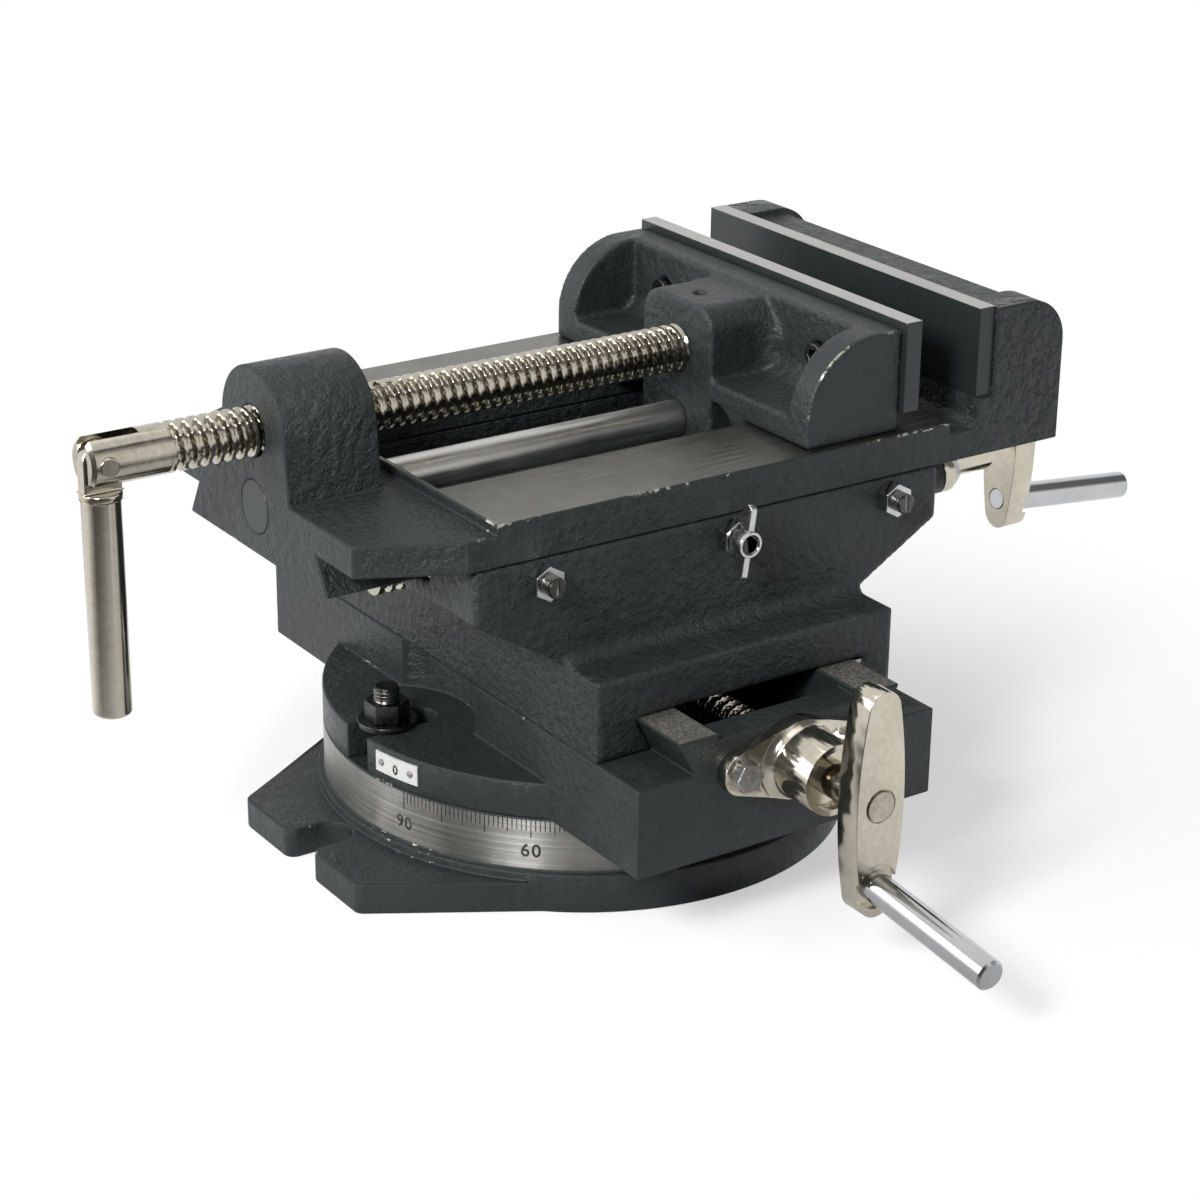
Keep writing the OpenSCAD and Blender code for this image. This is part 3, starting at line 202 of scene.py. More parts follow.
def mix(tree, kind, share, first, second):
    """The first value at share 0 and the second at share 1: numbers, vectors or colours."""
    a, b, result = MIX_SOCKETS[kind]
    return add_node(tree, "ShaderNodeMix", {0: share, a: first, b: second}, data_type=kind).outputs[result]


def mix_colour(tree, share, first, second):
    """A mix of two colours, each a socket or its red, green and blue."""
    full = [c if isinstance(c, bpy.types.NodeSocket) else (*c, 1) for c in (first, second)]
    return mix(tree, "RGBA", share, *full)


def above(tree, value, level):
    """A mask: the value is greater than a level."""
    return calc(tree, "GREATER_THAN", value, level)


def below(tree, value, level):
    """A mask: the value is less than a level."""
    return calc(tree, "LESS_THAN", value, level)


def near(tree, value, level, grip):
    """A mask: the value lies within a grip of a level."""
    made = add_node(tree, "ShaderNodeMath", {0: value, 1: level, 2: grip}, operation="COMPARE")
    return made.outputs[0]


print("arithmetic helpers ready")

# %% [markdown]
# ## Floor and sky
# A product shot on white: a pale floor and a sky that shows white behind the vise. The sky lights the paint
# less than it shows, so that dark paint stays dark. What the metal mirrors dims toward the photographer's
# side and high up behind the fixed jaw, as in a studio. Away from the vise the floor melts into the sky;
# close by it is plain paper that takes the shadow.

# %% Floor and sky
WHITE = (1, 1, 1, 1)
FLOOR_SIZE, FLOOR_COLOUR, FLOOR_ROUGHNESS = 12.0, (0.93, 0.93, 0.93, 1), 0.9
PAPER_NEAR, PAPER_FAR, PAPER_LIFT = 0.13, 0.34, 0.5
SKY_LIGHT = 0.32
DIM_BEARING = math.radians(-46)
DIM_SIDE = Vector((math.cos(DIM_BEARING), math.sin(DIM_BEARING), 0))
DIM_ABOVE = Vector((0.20, 0.61, 0.77))
SIDE_LEVEL, SIDE_FADE = 0.13, (0.4, 0.75)
ABOVE_LEVEL, ABOVE_FADE = 0.18, (0.80, 0.93)


def plain_mesh(name, points, faces):
    """A mesh from rows of three coordinates and a list of faces."""
    mesh = bpy.data.meshes.new(name)
    mesh.from_pydata(np.asarray(points, float).tolist(), [], faces)
    return mesh


def seen_rays(tree):
    """Two masks: rays straight from the camera or through glass, and mirrored rays."""
    path = add_node(tree, "ShaderNodeLightPath")
    straight = calc(tree, "MAXIMUM", path.outputs["Is Camera Ray"], path.outputs["Is Transmission Ray"])
    return straight, path.outputs["Is Glossy Ray"]


def studio_level(tree, direction):
    """How bright the studio mirrors in a direction: 1, but dim toward the camera and a little to its left,
    and high up behind the fixed jaw. Each dim zone fades in between two cosines of the angle from its
    middle."""
    side = vector_calc(tree, "DOT_PRODUCT", direction, DIM_SIDE)
    lifted = vector_calc(tree, "DOT_PRODUCT", direction, DIM_ABOVE)
    return calc(tree, "MINIMUM", spread(tree, side, *SIDE_FADE, 1.0, SIDE_LEVEL),
                spread(tree, lifted, *ABOVE_FADE, 1.0, ABOVE_LEVEL))


half = FLOOR_SIZE / 2
floor_corners = [[-half, -half, 0], [half, -half, 0], [half, half, 0], [-half, half, 0]]
floor = bpy.data.objects.new("floor", plain_mesh("floor", floor_corners, [[0, 1, 2, 3]]))
bpy.context.scene.collection.objects.link(floor)
floor_paper, paper, paper_shader = new_finish("floor_paper")
paper_shader.inputs["Base Color"].default_value = FLOOR_COLOUR
paper_shader.inputs["Roughness"].default_value = FLOOR_ROUGHNESS
straight, mirrored = seen_rays(paper)
shown = calc(paper, "MAXIMUM", straight, mirrored)
bearing = vector_calc(paper, "NORMALIZE", object_coords(paper))
bright = calc(paper, "MAXIMUM", straight, studio_level(paper, bearing))
away = vector_calc(paper, "LENGTH", object_coords(paper))
melt = add_node(paper, "ShaderNodeMapRange",
                {"Value": away, "From Min": PAPER_NEAR, "From Max": PAPER_FAR, "To Min": PAPER_LIFT},
                interpolation_type="SMOOTHSTEP").outputs["Result"]
glow = add_node(paper, "ShaderNodeEmission", {"Color": WHITE, "Strength": bright})
both = add_node(paper, "ShaderNodeMixShader", {
    0: calc(paper, "MULTIPLY", melt, shown), 1: paper_shader.outputs["BSDF"], 2: glow.outputs["Emission"]})
paper.links.new(both.outputs["Shader"], paper.nodes["Material Output"].inputs["Surface"])
floor.data.materials.append(floor_paper)

world = bpy.data.worlds.new("studio")
world.use_nodes = True
bpy.context.scene.world = world
sky = world.node_tree
straight, mirrored = seen_rays(sky)
dimmed = studio_level(sky, add_node(sky, "ShaderNodeTexCoord").outputs["Generated"])
level = mix(sky, "FLOAT", mirrored, SKY_LIGHT, dimmed)
sky.links.new(calc(sky, "MAXIMUM", level, straight), sky.nodes["Background"].inputs["Strength"])
sky.nodes["Background"].inputs["Color"].default_value = WHITE
bpy.context.scene.view_settings.view_transform = "Standard"
print("floor", FLOOR_SIZE, "m wide, sky light", SKY_LIGHT)

# %% [markdown]
# ## Lamps
# Three soft boxes face the middle of the vise: a wide one overhead, a small bright one beside the camera and
# a wide one far to the left. Each is placed by its distance toward the camera, to the camera's left and up.

# %% Lamps
CENTRE = (CAD_BOX[0] + CAD_BOX[1]) / 2
LAMPS = {
    "lamp_top": {"toward": 0.0, "left": 0.0, "up": 1.5, "size": 1.2, "watts": 4},
    "lamp_key": {"toward": 0.95, "left": 0.5, "up": 0.3, "size": 0.3, "watts": 16},
    "lamp_left": {"toward": 0.2, "left": 1.2, "up": 0.5, "size": 0.8, "watts": 8},
}


def lamp(name, toward, left, up, size, watts):
    """A square soft box at a place given from the middle of the vise, turned to face it."""
    data = bpy.data.lights.new(name, "AREA")
    data.size, data.energy = size, watts
    made = bpy.data.objects.new(name, data)
    made.location = CENTRE + BACK * toward - RIGHT * left + Vector((0, 0, up))
    made.rotation_mode = "QUATERNION"
    made.rotation_quaternion = (CENTRE - made.location).to_track_quat("-Z", "Y")
    bpy.context.scene.collection.objects.link(made)


for lamp_name, lamp_sizes in LAMPS.items():
    lamp(lamp_name, **lamp_sizes)
print(len(LAMPS), "lamps round", [round(v, 3) for v in CENTRE])

# %% [markdown]
# ## Where the castings are bare
# Faces machined after painting are bare grey iron: the turned ring of the base, the tops of the rails and
# the ways of the bed. Paint is chipped along the corners that get knocked. Masks worked out from the
# position pick these places.

# %% Masks on the castings
RING_R, FACET_SAG = 88.8 * MM, 0.8 * MM
RING_FOOT, RING_TOP = 14.2 * MM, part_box("swivel_base")[1].z
RAIL_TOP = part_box("lower_slide")[1].z
PLATE_LIFT, WAY_START = 6.4 * MM, -82 * MM
WAY_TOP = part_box("fixed_jaw_plate")[0].z - PLATE_LIFT
FACING_UP = 0.7
FACE_GRIP = 0.15 * MM
HEAD_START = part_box("fixed_jaw_plate")[0].y - 8 * MM
HEAD_FADE, HEAD_SKIN = 15 * MM, 4 * MM
KNOCKED_X, KNOCKED_GRIP = 70 * MM, 1 * MM
CHEEK_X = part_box("moving_jaw")[1].x
CHIP_INSET, CHIP_GRIP, CHIP_LIFT = 0.6 * MM, 0.4 * MM, 10 * MM


def ring_mask(tree):
    """The turned ring: outside its own radius less a facet's sag, and above its foot."""
    x, y, z = position(tree)
    radius = calc(tree, "SQRT", sum_of_squares(tree, x, y))
    return product(tree, above(tree, radius, RING_R - FACET_SAG), above(tree, z, RING_FOOT))


def way_mask(tree):
    """The milled ways: faces that look up at the level of the ways, from the step at the tail on."""
    _, y, z = position(tree)
    normal = add_node(tree, "ShaderNodeNewGeometry").outputs["True Normal"]
    facing = add_node(tree, "ShaderNodeSeparateXYZ", {"Vector": normal}).outputs["Z"]
    return product(tree, near(tree, z, WAY_TOP, FACE_GRIP), above(tree, facing, FACING_UP),
                   above(tree, y, WAY_START))


def rail_mask(tree):
    """The milled tops of the two rails."""
    _, _, z = position(tree)
    return above(tree, z, RAIL_TOP - FACE_GRIP)


def knocked_mask(tree):
    """The edge that gets knocked most: the outer corner of the near way, up to the fixed jaw."""
    x, y, z = position(tree)
    return product(tree, above(tree, x, KNOCKED_X), near(tree, z, WAY_TOP, KNOCKED_GRIP),
                   below(tree, y, HEAD_START))


def head_side(tree):
    """The flanks of the fixed jaw, left rough from the sand."""
    x, y, _ = position(tree)
    outside = above(tree, calc(tree, "ABSOLUTE", x), CHEEK_X - HEAD_SKIN)
    return product(tree, outside, spread(tree, y, HEAD_START, HEAD_START + HEAD_FADE, 0, 1))


def fleck_noise(tree, fine, patches):
    """Fine noise that comes and goes in patches, both given in lumps to the metre."""
    where = object_coords(tree)
    return product(tree, noise(tree, where, fine, 4, 0.7), noise(tree, where, patches, 2))


def cheek_chips(tree):
    """Chips along the rounded outer corner of the moving jaw's near cheek, in flecks."""
    x, _, z = position(tree)
    return product(tree, near(tree, x, CHEEK_X - CHIP_INSET, CHIP_GRIP), above(tree, z, WAY_TOP + CHIP_LIFT),
                   spread(tree, fleck_noise(tree, 420, 45), 0.26, 0.30, 0, 1))


print("ways at", round(WAY_TOP / MM, 2), "mm, rails at", round(RAIL_TOP / MM, 2), "mm")

# %% [markdown]
# ## Enamelled castings
# The base, slides, bed and moving jaw are sand castings under a dark slate enamel: satin, slightly uneven in
# colour, with the grain of the sand showing through and painted shade and highlight on its lumps. The bare
# iron has fine tool marks and stains.

# %% Enamelled castings
ENAMEL_DARK, ENAMEL_LIGHT = (0.0115, 0.015, 0.015), (0.0225, 0.0292, 0.0288)
ENAMEL_EDGE, WORN_EDGE = (0.018, 0.023, 0.0225), (0.42, 0.41, 0.38)
WAY_IRON = ((0.11, 0.11, 0.095), (0.23, 0.228, 0.205))
RING_IRON = ((0.19, 0.19, 0.178), (0.41, 0.405, 0.38))
RAIL_IRON = ((0.26, 0.25, 0.22), (0.50, 0.48, 0.43))
SAND_FINE, SAND_LUMPS, SAND_PITS = 1300, 330, 230
PAINT_PATCHES, IRON_STAINS = 26, 38
PIT_DEPTH, PIT_SHEEN = 2.2, 0.12
KNOCKED_EXTRA = 0.11


def sand_coat(tree, rough, coarse):
    """Enamel over sand grain: the sockets of its colour, its sheen and its relief. The colour drifts in wide
    patches and carries painted shade in the hollows of the lumps and a painted highlight on their crests, the
    more so the rougher the sand; pits are added where it is coarse."""
    where = object_coords(tree)
    grain, lumps = noise(tree, where, SAND_FINE, 3, 0.6), noise(tree, where, SAND_LUMPS, 3, 0.55)
    patches = noise(tree, where, PAINT_PATCHES, 4, 0.6)
    # Painted shade and highlight: the colour darkens in the hollows of the lumps and lightens on their
    # crests.
    lump_shade_and_highlight = calc(tree, "MULTIPLY", calc(tree, "SUBTRACT", lumps, 0.5), 0.35 * rough / MM)
    tone = spread(tree, calc(tree, "ADD", patches, lump_shade_and_highlight), 0.2, 0.8, 0, 1)
    sheen = spread(tree, lumps, 0.25, 0.75, 0.28, 0.46)
    uneven = spread(tree, patches, 0.38, 0.62, 0.35, 1)
    relief = calc(tree, "ADD", calc(tree, "MULTIPLY", grain, 0.3), calc(tree, "MULTIPLY", lumps, uneven))
    if coarse:
        deep = coarse(tree)
        pits = product(tree, noise(tree, where, SAND_PITS, 2), calc(tree, "MULTIPLY", deep, PIT_DEPTH))
        relief = calc(tree, "ADD", relief, pits)
        sheen = calc(tree, "SUBTRACT", sheen, calc(tree, "MULTIPLY", deep, PIT_SHEEN))
    return mix_colour(tree, tone, ENAMEL_DARK, ENAMEL_LIGHT), sheen, relief


def turned_face(tree, shader, bare, rest):
    """Tool lines round the Z axis, which draw out highlights on the bare face. Returns a normal that points
    straight away from the axis there, so that no facet of the solid shows."""
    tree.links.new(calc(tree, "MULTIPLY", bare, 0.95), shader.inputs["Anisotropic"])
    shader.inputs["Anisotropic Rotation"].default_value = 0.25
    around = add_node(tree, "ShaderNodeTangent", direction_type="RADIAL", axis="Z")
    tree.links.new(around.outputs["Tangent"], shader.inputs["Tangent"])
    out = add_node(tree, "ShaderNodeVectorTransform",
                   {"Vector": vector_calc(tree, "MULTIPLY", object_coords(tree), (1, 1, 0))},
                   vector_type="NORMAL", convert_from="OBJECT", convert_to="WORLD")
    return mix(tree, "VECTOR", bare, rest, out.outputs["Vector"])


def casting_finish(name, rough, machined=None, iron=WAY_IRON, marks=(40, 900, 900), sheens=(0.28, 0.42),
                   turned=False, coarse=None):
    """Enamel over sand grain of a given roughness. `machined` returns a mask socket for faces of bare iron
    in two tones, `marks` stretches their tool lines, `sheens` is the range of their roughness, and `turned`
    faces are round about the Z axis. `coarse` returns a mask socket for places of deeper grain."""
    material, tree, shader = new_finish(name)
    colour, sheen, relief = sand_coat(tree, rough, coarse)
    rest = add_node(tree, "ShaderNodeNewGeometry").outputs["Normal"]
    if machined:
        bare = machined(tree)
        lines = noise(tree, object_coords(tree, marks), 1.0, 3, 0.6)
        stain = noise(tree, object_coords(tree), IRON_STAINS, 4, 0.65)
        tone = calc(tree, "ADD", calc(tree, "MULTIPLY", lines, 0.55), calc(tree, "MULTIPLY", stain, 0.6))
        bared = mix_colour(tree, spread(tree, tone, 0.35, 0.8, 0, 1), *iron)
        colour = mix_colour(tree, bare, colour, bared)
        sheen = mix(tree, "FLOAT", bare, sheen, spread(tree, lines, 0.3, 0.7, *sheens))
        relief = mix(tree, "FLOAT", bare, relief, calc(tree, "MULTIPLY", lines, 0.05))
        tree.links.new(bare, shader.inputs["Metallic"])
        if turned:
            rest = turned_face(tree, shader, bare, rest)
    tree.links.new(colour, shader.inputs["Base Color"])
    tree.links.new(sheen, shader.inputs["Roughness"])
    shader.inputs["Specular IOR Level"].default_value = 0.3
    tree.links.new(bump(tree, relief, rough, 0.9, rest), shader.inputs["Normal"])
    return material


def worn_edge_finish():
    """Enamel chipped off an edge in flecks, down to dull iron: many where it is knocked, few elsewhere."""
    material, tree, shader = new_finish("enamel_worn_edge")
    knocks = calc(tree, "MULTIPLY", knocked_mask(tree), KNOCKED_EXTRA)
    bare = spread(tree, calc(tree, "ADD", fleck_noise(tree, 520, 32), knocks), 0.405, 0.43, 0, 1)
    tree.links.new(mix_colour(tree, bare, ENAMEL_EDGE, WORN_EDGE), shader.inputs["Base Color"])
    tree.links.new(calc(tree, "MULTIPLY", bare, 0.8), shader.inputs["Metallic"])
    shader.inputs["Roughness"].default_value = 0.55
    shader.inputs["Specular IOR Level"].default_value = 0.2
    return material


WORN = worn_edge_finish()
CASTINGS = {
    "swivel_base": casting_finish("enamel_base", 0.9 * MM, ring_mask, RING_IRON, (8, 8, 1600), (0.30, 0.38),
                                  turned=True),
    "lower_slide": casting_finish("enamel_slide", 0.9 * MM, rail_mask, RAIL_IRON, (1000, 1000, 30),
                                  (0.40, 0.60)),
    "saddle": casting_finish("enamel_saddle", 2.0 * MM),
    "vise_bed": casting_finish("enamel_bed", 2.4 * MM, way_mask, WAY_IRON, (1400, 40, 1400),
                               coarse=head_side),
    "moving_jaw": casting_finish("enamel_jaw", 1.1 * MM, cheek_chips, RAIL_IRON),
}
print("enamelled:", sorted(CASTINGS))

# %% [markdown]
# ## Plated and bare metal
# The lead and vise screws, brackets, levers and the handle are nickel plated, which is warmer than the
# chrome of the two grips; the screws get a darker copy of the nickel as painted shade. Lock nuts, bracket
# bolts and the wing screw are zinc, clamping bolts and small screws are blackened, and the nuts of the lead
# screws are bronze. The jaw plates are ground on top, and the rod is drawn.

# %% Plated and bare metal
METAL_CLOUD = 55
PLATE_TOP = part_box("fixed_jaw_plate")[1].z
ROD_HEAD_END = -118 * MM
WING_LOW, WING_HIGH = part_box("wing_lock_screw")
WING_Y, WING_Z = (WING_LOW.y + WING_HIGH.y) / 2, (WING_LOW.z + WING_HIGH.z) / 2
WING_CORE_R, WING_CORE_DEPTH = 3.2 * MM, 2 * MM


def metal_finish(name, dark, light, rough, stretch=(1, 1, 1), scale=300.0, depth=0.0, cover=None):
    """Bare or plated metal: two tones and a roughness range on noise that may be drawn out into lines;
    `cover` returns a mask socket for the places that are painted or blackened."""
    material, tree, shader = new_finish(name)
    lines = noise(tree, object_coords(tree, stretch), scale, 3, 0.6)
    cloud = noise(tree, object_coords(tree), METAL_CLOUD, 3, 0.6)
    tone = calc(tree, "ADD", calc(tree, "MULTIPLY", lines, 0.5), calc(tree, "MULTIPLY", cloud, 0.5))
    colour = mix_colour(tree, spread(tree, tone, 0.3, 0.7, 0, 1), dark, light)
    shader.inputs["Metallic"].default_value = 1.0
    if cover:
        covered = cover(tree)
        colour = mix_colour(tree, covered, colour, ENAMEL_EDGE)
        tree.links.new(spread(tree, covered, 0, 1, 1, 0.2), shader.inputs["Metallic"])
    tree.links.new(colour, shader.inputs["Base Color"])
    tree.links.new(spread(tree, tone, 0.3, 0.7, *rough), shader.inputs["Roughness"])
    if depth:
        tree.links.new(bump(tree, lines, depth, 0.5), shader.inputs["Normal"])
    return material


def plate_sides(tree):
    """All of a jaw plate but its ground top."""
    _, _, z = position(tree)
    return below(tree, z, PLATE_TOP - FACE_GRIP)


def rod_head(tree):
    """The head of the guide rod, painted over together with the end of the bed."""
    _, y, _ = position(tree)
    return below(tree, y, ROD_HEAD_END)


def wing_core(tree):
    """The end of the wing screw's core, inside the rim of its hub."""
    x, y, z = position(tree)
    across, up = calc(tree, "SUBTRACT", y, WING_Y), calc(tree, "SUBTRACT", z, WING_Z)
    inside = below(tree, sum_of_squares(tree, across, up), WING_CORE_R ** 2)
    return product(tree, inside, above(tree, x, WING_HIGH.x - WING_CORE_DEPTH))


NICKEL = metal_finish("nickel_plate", (0.48, 0.44, 0.36), (0.64, 0.60, 0.51), (0.09, 0.18), scale=420)
# The screws' nickel is a darker copy of the same plating: painted shade on their threads.
SHADED_NICKEL = metal_finish("nickel_screw_shaded", (0.33, 0.31, 0.25), (0.58, 0.54, 0.46), (0.08, 0.20), scale=420)
CHROME = metal_finish("chrome_plate", (0.46, 0.47, 0.475), (0.56, 0.57, 0.58), (0.06, 0.12), scale=200)
ZINC = metal_finish("zinc_plate", (0.36, 0.37, 0.38), (0.62, 0.63, 0.64), (0.14, 0.30), scale=500)
WING = metal_finish("zinc_wing", (0.42, 0.43, 0.44), (0.62, 0.63, 0.64), (0.18, 0.32), scale=500,
                    cover=wing_core)
OXIDE = metal_finish("black_oxide", (0.03, 0.03, 0.03), (0.12, 0.12, 0.118), (0.22, 0.42), scale=600)
STUD = metal_finish("oiled_stud", (0.09, 0.09, 0.085), (0.26, 0.255, 0.24), (0.18, 0.34), scale=600)
GROUND = metal_finish("ground_steel", (0.32, 0.315, 0.30), (0.50, 0.495, 0.475), (0.24, 0.40),
                      (0.06, 1, 1), 1500, 0.02 * MM, plate_sides)
STEEL = metal_finish("bright_steel", (0.28, 0.275, 0.265), (0.44, 0.435, 0.42), (0.24, 0.40), scale=700)
ROD = metal_finish("drawn_steel", (0.50, 0.49, 0.46), (0.76, 0.75, 0.71), (0.30, 0.46), (1, 0.04, 1), 900,
                   cover=rod_head)
BRONZE = metal_finish("machined_bronze", (0.38, 0.25, 0.11), (0.56, 0.40, 0.20), (0.25, 0.4), scale=400)
METALS = (NICKEL, SHADED_NICKEL, CHROME, ZINC, WING, OXIDE, STUD, GROUND, STEEL, ROD, BRONZE)
print("metals:", [metal.name for metal in METALS])

# %% [markdown]
# ## White enamel and black marks
# The index plate is white enamel, a little cloudy. Lines and numbers are black, and worn to grey in places.

# %% White enamel and black marks
white_enamel, white, white_shader = new_finish("white_enamel")
white_cloud = noise(white, object_coords(white), 900, 2)
white.links.new(mix_colour(white, white_cloud, (0.38, 0.38, 0.37), (0.46, 0.46, 0.448)),
                white_shader.inputs["Base Color"])
white.links.new(spread(white, white_cloud, 0.3, 0.7, 0.32, 0.5), white_shader.inputs["Roughness"])

engraving, black, black_shader = new_finish("engraved_black")
black_wear = spread(black, noise(black, object_coords(black), 90, 3, 0.6), 0.48, 0.66, 0, 1)
black.links.new(mix_colour(black, black_wear, (0.012, 0.012, 0.012), (0.10, 0.10, 0.095)),
                black_shader.inputs["Base Color"])
black.links.new(spread(black, noise(black, object_coords(black), 1500, 2), 0.3, 0.7, 0.5, 0.8),
                black_shader.inputs["Roughness"])
print("also", white_enamel.name, "and", engraving.name)

# %% [markdown]
# ## Dressing the solids
# Every node keeps its own mesh. Modifiers weld its loose triangles, dissolve them back into flat faces and
# round the edges, because no real edge is perfectly sharp. On a casting the rounded edge has a second
# finish, so that the chipped paint follows exactly the edges that would wear. The saddle and the moving jaw
# have the softest corners, so these two are built again from small grains and evened.

# %% Dress the solids
FINISHES = {
    "steel": STEEL, "nickel": NICKEL, "chrome": CHROME, "zinc": ZINC, "oxide": OXIDE, "bronze": BRONZE,
    "white_plate": white_enamel,
}
SPECIAL = {"guide_rod": ROD, "wing_lock_screw": WING, "fixed_jaw_plate": GROUND, "moving_jaw_plate": GROUND}
EDGE_WIDTHS = {
    "cast": 0.7 * MM, "steel": 0.3 * MM, "nickel": 0.5 * MM, "zinc": 0.25 * MM, "oxide": 0.25 * MM,
}
FINE_EDGES = {"cross_lever": 0.25 * MM, "long_lever": 0.25 * MM}
TIGHT = ("cross_bracket", "long_bracket")
SOFT = {"moving_jaw": (0.8 * MM, 8), "saddle": (1.15 * MM, 4)}
WELD_REACH = 0.002 * MM
DISSOLVE_ANGLE, EDGE_ANGLE = math.radians(1.0), math.radians(32)


def dress(name, finishes):
    """Finishes on a solid in place of its plain colour."""
    piece = nodes[name]
    piece.data.materials.clear()
    for finish in finishes:
        piece.data.materials.append(finish)
    return piece


def add_weld(piece):
    """A modifier that joins the corners of loose triangles."""
    weld = piece.modifiers.new("weld", "WELD")
    weld.merge_threshold = WELD_REACH


def round_edges(piece, width, tight):
    """Loose triangles welded and merged to flat faces, then each edge rounded by a width, or by as much as
    the closest edges leave room for where that is tight, with the piece's last finish on the rounding."""
    add_weld(piece)
    flat = piece.modifiers.new("flat_faces", "DECIMATE")
    flat.decimate_type, flat.angle_limit = "DISSOLVE", DISSOLVE_ANGLE
    rounding = piece.modifiers.new("rounded_edges", "BEVEL")
    rounding.width, rounding.segments = width, 2
    rounding.limit_method, rounding.angle_limit = "ANGLE", EDGE_ANGLE
    rounding.use_clamp_overlap = tight
    rounding.harden_normals = True
    rounding.material = len(piece.data.materials) - 1


def soften(piece, grain, times):
    """A casting's soft corners: the solid built again from small cubes of a grain, then evened."""
    add_weld(piece)
    rebuilt = piece.modifiers.new("grains", "REMESH")
    rebuilt.mode, rebuilt.voxel_size, rebuilt.use_smooth_shade = "VOXEL", grain, True
    even = piece.modifiers.new("evened", "SMOOTH")
    even.factor, even.iterations = 0.5, times


for row in frame["record"]["subparts"]:
    name, slot = row["node"], row["material_slot"]
    piece = dress(name, [CASTINGS[name], WORN] if slot == "cast" else [SPECIAL.get(name, FINISHES[slot])])
    if name in SOFT:
        soften(piece, *SOFT[name])
    elif slot in EDGE_WIDTHS:
        round_edges(piece, FINE_EDGES.get(name, EDGE_WIDTHS[slot]), name in TIGHT)
print("dressed", len(nodes), "solids")

# %% [markdown]
# ## Threads
# The three screws carry a coarse thread of 4 mm pitch. Seen along the axis it is a radius that depends on
# distance and angle together: the same wave, carried on by one pitch for every turn. The plain ends with
# the slot, the collar and the journals are cut from the solid, and the thread stands between them.

# %% Thread surfaces
AROUND, PER_PITCH = 48, 16
THREAD_STEEP = 1.15


def thread_wave(turns):
    """A trapezium of height 0 to 1: the cosine of the turn count, steepened and clipped to flat crest and
    root."""
    return np.clip(0.5 + THREAD_STEEP * np.cos(2 * np.pi * turns), 0, 1)


def thread_mesh(name, start, along, length, crest, depth, pitch):
    """Radius = crest - depth * (1 - wave(s / pitch - angle / turn)) on a grid of distance s along X, Y or Z
    and of angle, with both ends run out to the crest over half a pitch and closed by a fan."""
    along = np.asarray(along, float)
    side = np.roll(along, 1)
    other = np.cross(along, side)
    rows = int(round(length / pitch * PER_PITCH))
    s = np.linspace(0, length, rows + 1)[:, None]
    angle = np.linspace(0, 2 * np.pi, AROUND, endpoint=False)[None, :]
    wave = thread_wave(s / pitch - angle / (2 * np.pi))
    full = np.clip(np.minimum(s, length - s) / (0.5 * pitch), 0, 1)
    radius = crest - depth * (1 - wave) * full
    ring = np.cos(angle)[..., None] * side + np.sin(angle)[..., None] * other
    points = np.asarray(start, float) + s[..., None] * along + radius[..., None] * ring
    ends = np.asarray(start, float) + np.outer([0.0, length], along)
    points = np.concatenate([points.reshape(-1, 3), ends])
    i, j = np.meshgrid(np.arange(rows), np.arange(AROUND), indexing="ij")
    k = (j + 1) % AROUND
    quads = np.stack([i * AROUND + j, (i + 1) * AROUND + j, (i + 1) * AROUND + k, i * AROUND + k], -1)
    quads = quads.reshape(-1, 4)[:, ::-1]
    first, last = len(points) - 2, len(points) - 1
    j, k = np.arange(AROUND), (np.arange(AROUND) + 1) % AROUND
    first_fan = np.stack([np.full(AROUND, first), j, k], -1)
    last_fan = np.stack([np.full(AROUND, last), rows * AROUND + k, rows * AROUND + j], -1)
    return plain_mesh(name, points, quads.tolist() + first_fan.tolist() + last_fan.tolist())


print("a thread has", AROUND, "points round and", PER_PITCH, "to the pitch")

# %% [markdown]
# A screw is put together from its thread and from the ends of its solid, and stands for that solid.

# %% Threaded screws
THREAD_PITCH, VISE_DEPTH = 4.0 * MM, 1.9 * MM
PLAIN_END, SEAT_PLAY = 25.9 * MM, 0.3 * MM
LEAD_R, LEAD_DEPTH, COLLAR_L = 6 * MM, 1.6 * MM, 5 * MM
CUT_REACH, SHARP_ANGLE = 1e-7, math.radians(38)


def add_piece(name, mesh, finish, body):
    """An object for a mesh at the origin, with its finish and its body."""
    mesh.materials.append(finish)
    piece = bpy.data.objects.new(name, mesh)
    bpy.context.scene.collection.objects.link(piece)
    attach(piece, body)
    print(name, len(mesh.polygons), "faces")
    return piece


def keep_beyond(built, source, point, normal):
    """Adds to a bmesh the part of a solid that lies on the normal's side of a plane, welded and capped."""
    cut = bmesh.new()
    cut.from_mesh(source)
    bmesh.ops.remove_doubles(cut, verts=cut.verts, dist=WELD_REACH)
    found = bmesh.ops.bisect_plane(cut, geom=cut.verts[:] + cut.edges[:] + cut.faces[:], dist=CUT_REACH,
                                   plane_co=point, plane_no=normal, clear_inner=True)
    rim = [g for g in found["geom_cut"] if isinstance(g, bmesh.types.BMEdge)]
    bmesh.ops.contextual_create(cut, geom=rim)
    kept = bpy.data.meshes.new("kept")
    cut.to_mesh(kept)
    cut.free()
    if "custom_normal" in kept.attributes:
        kept.attributes.remove(kept.attributes["custom_normal"])
    built.from_mesh(kept)
    bpy.data.meshes.remove(kept)


def threaded_piece(name, node, body, finish, thread, cuts):
    """One piece that stands for a screw's solid: its plain parts beyond each cut, and a thread between."""
    built = bmesh.new()
    built.from_mesh(thread)
    for point, normal in cuts:
        keep_beyond(built, nodes[node].data, point, normal)
    bmesh.ops.recalc_face_normals(built, faces=built.faces[:])
    mesh = bpy.data.meshes.new(name)
    built.to_mesh(mesh)
    built.free()
    mesh.shade_smooth()
    mesh.set_sharp_from_angle(angle=SHARP_ANGLE)
    piece = add_piece(name, mesh, finish, body)
    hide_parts(node)


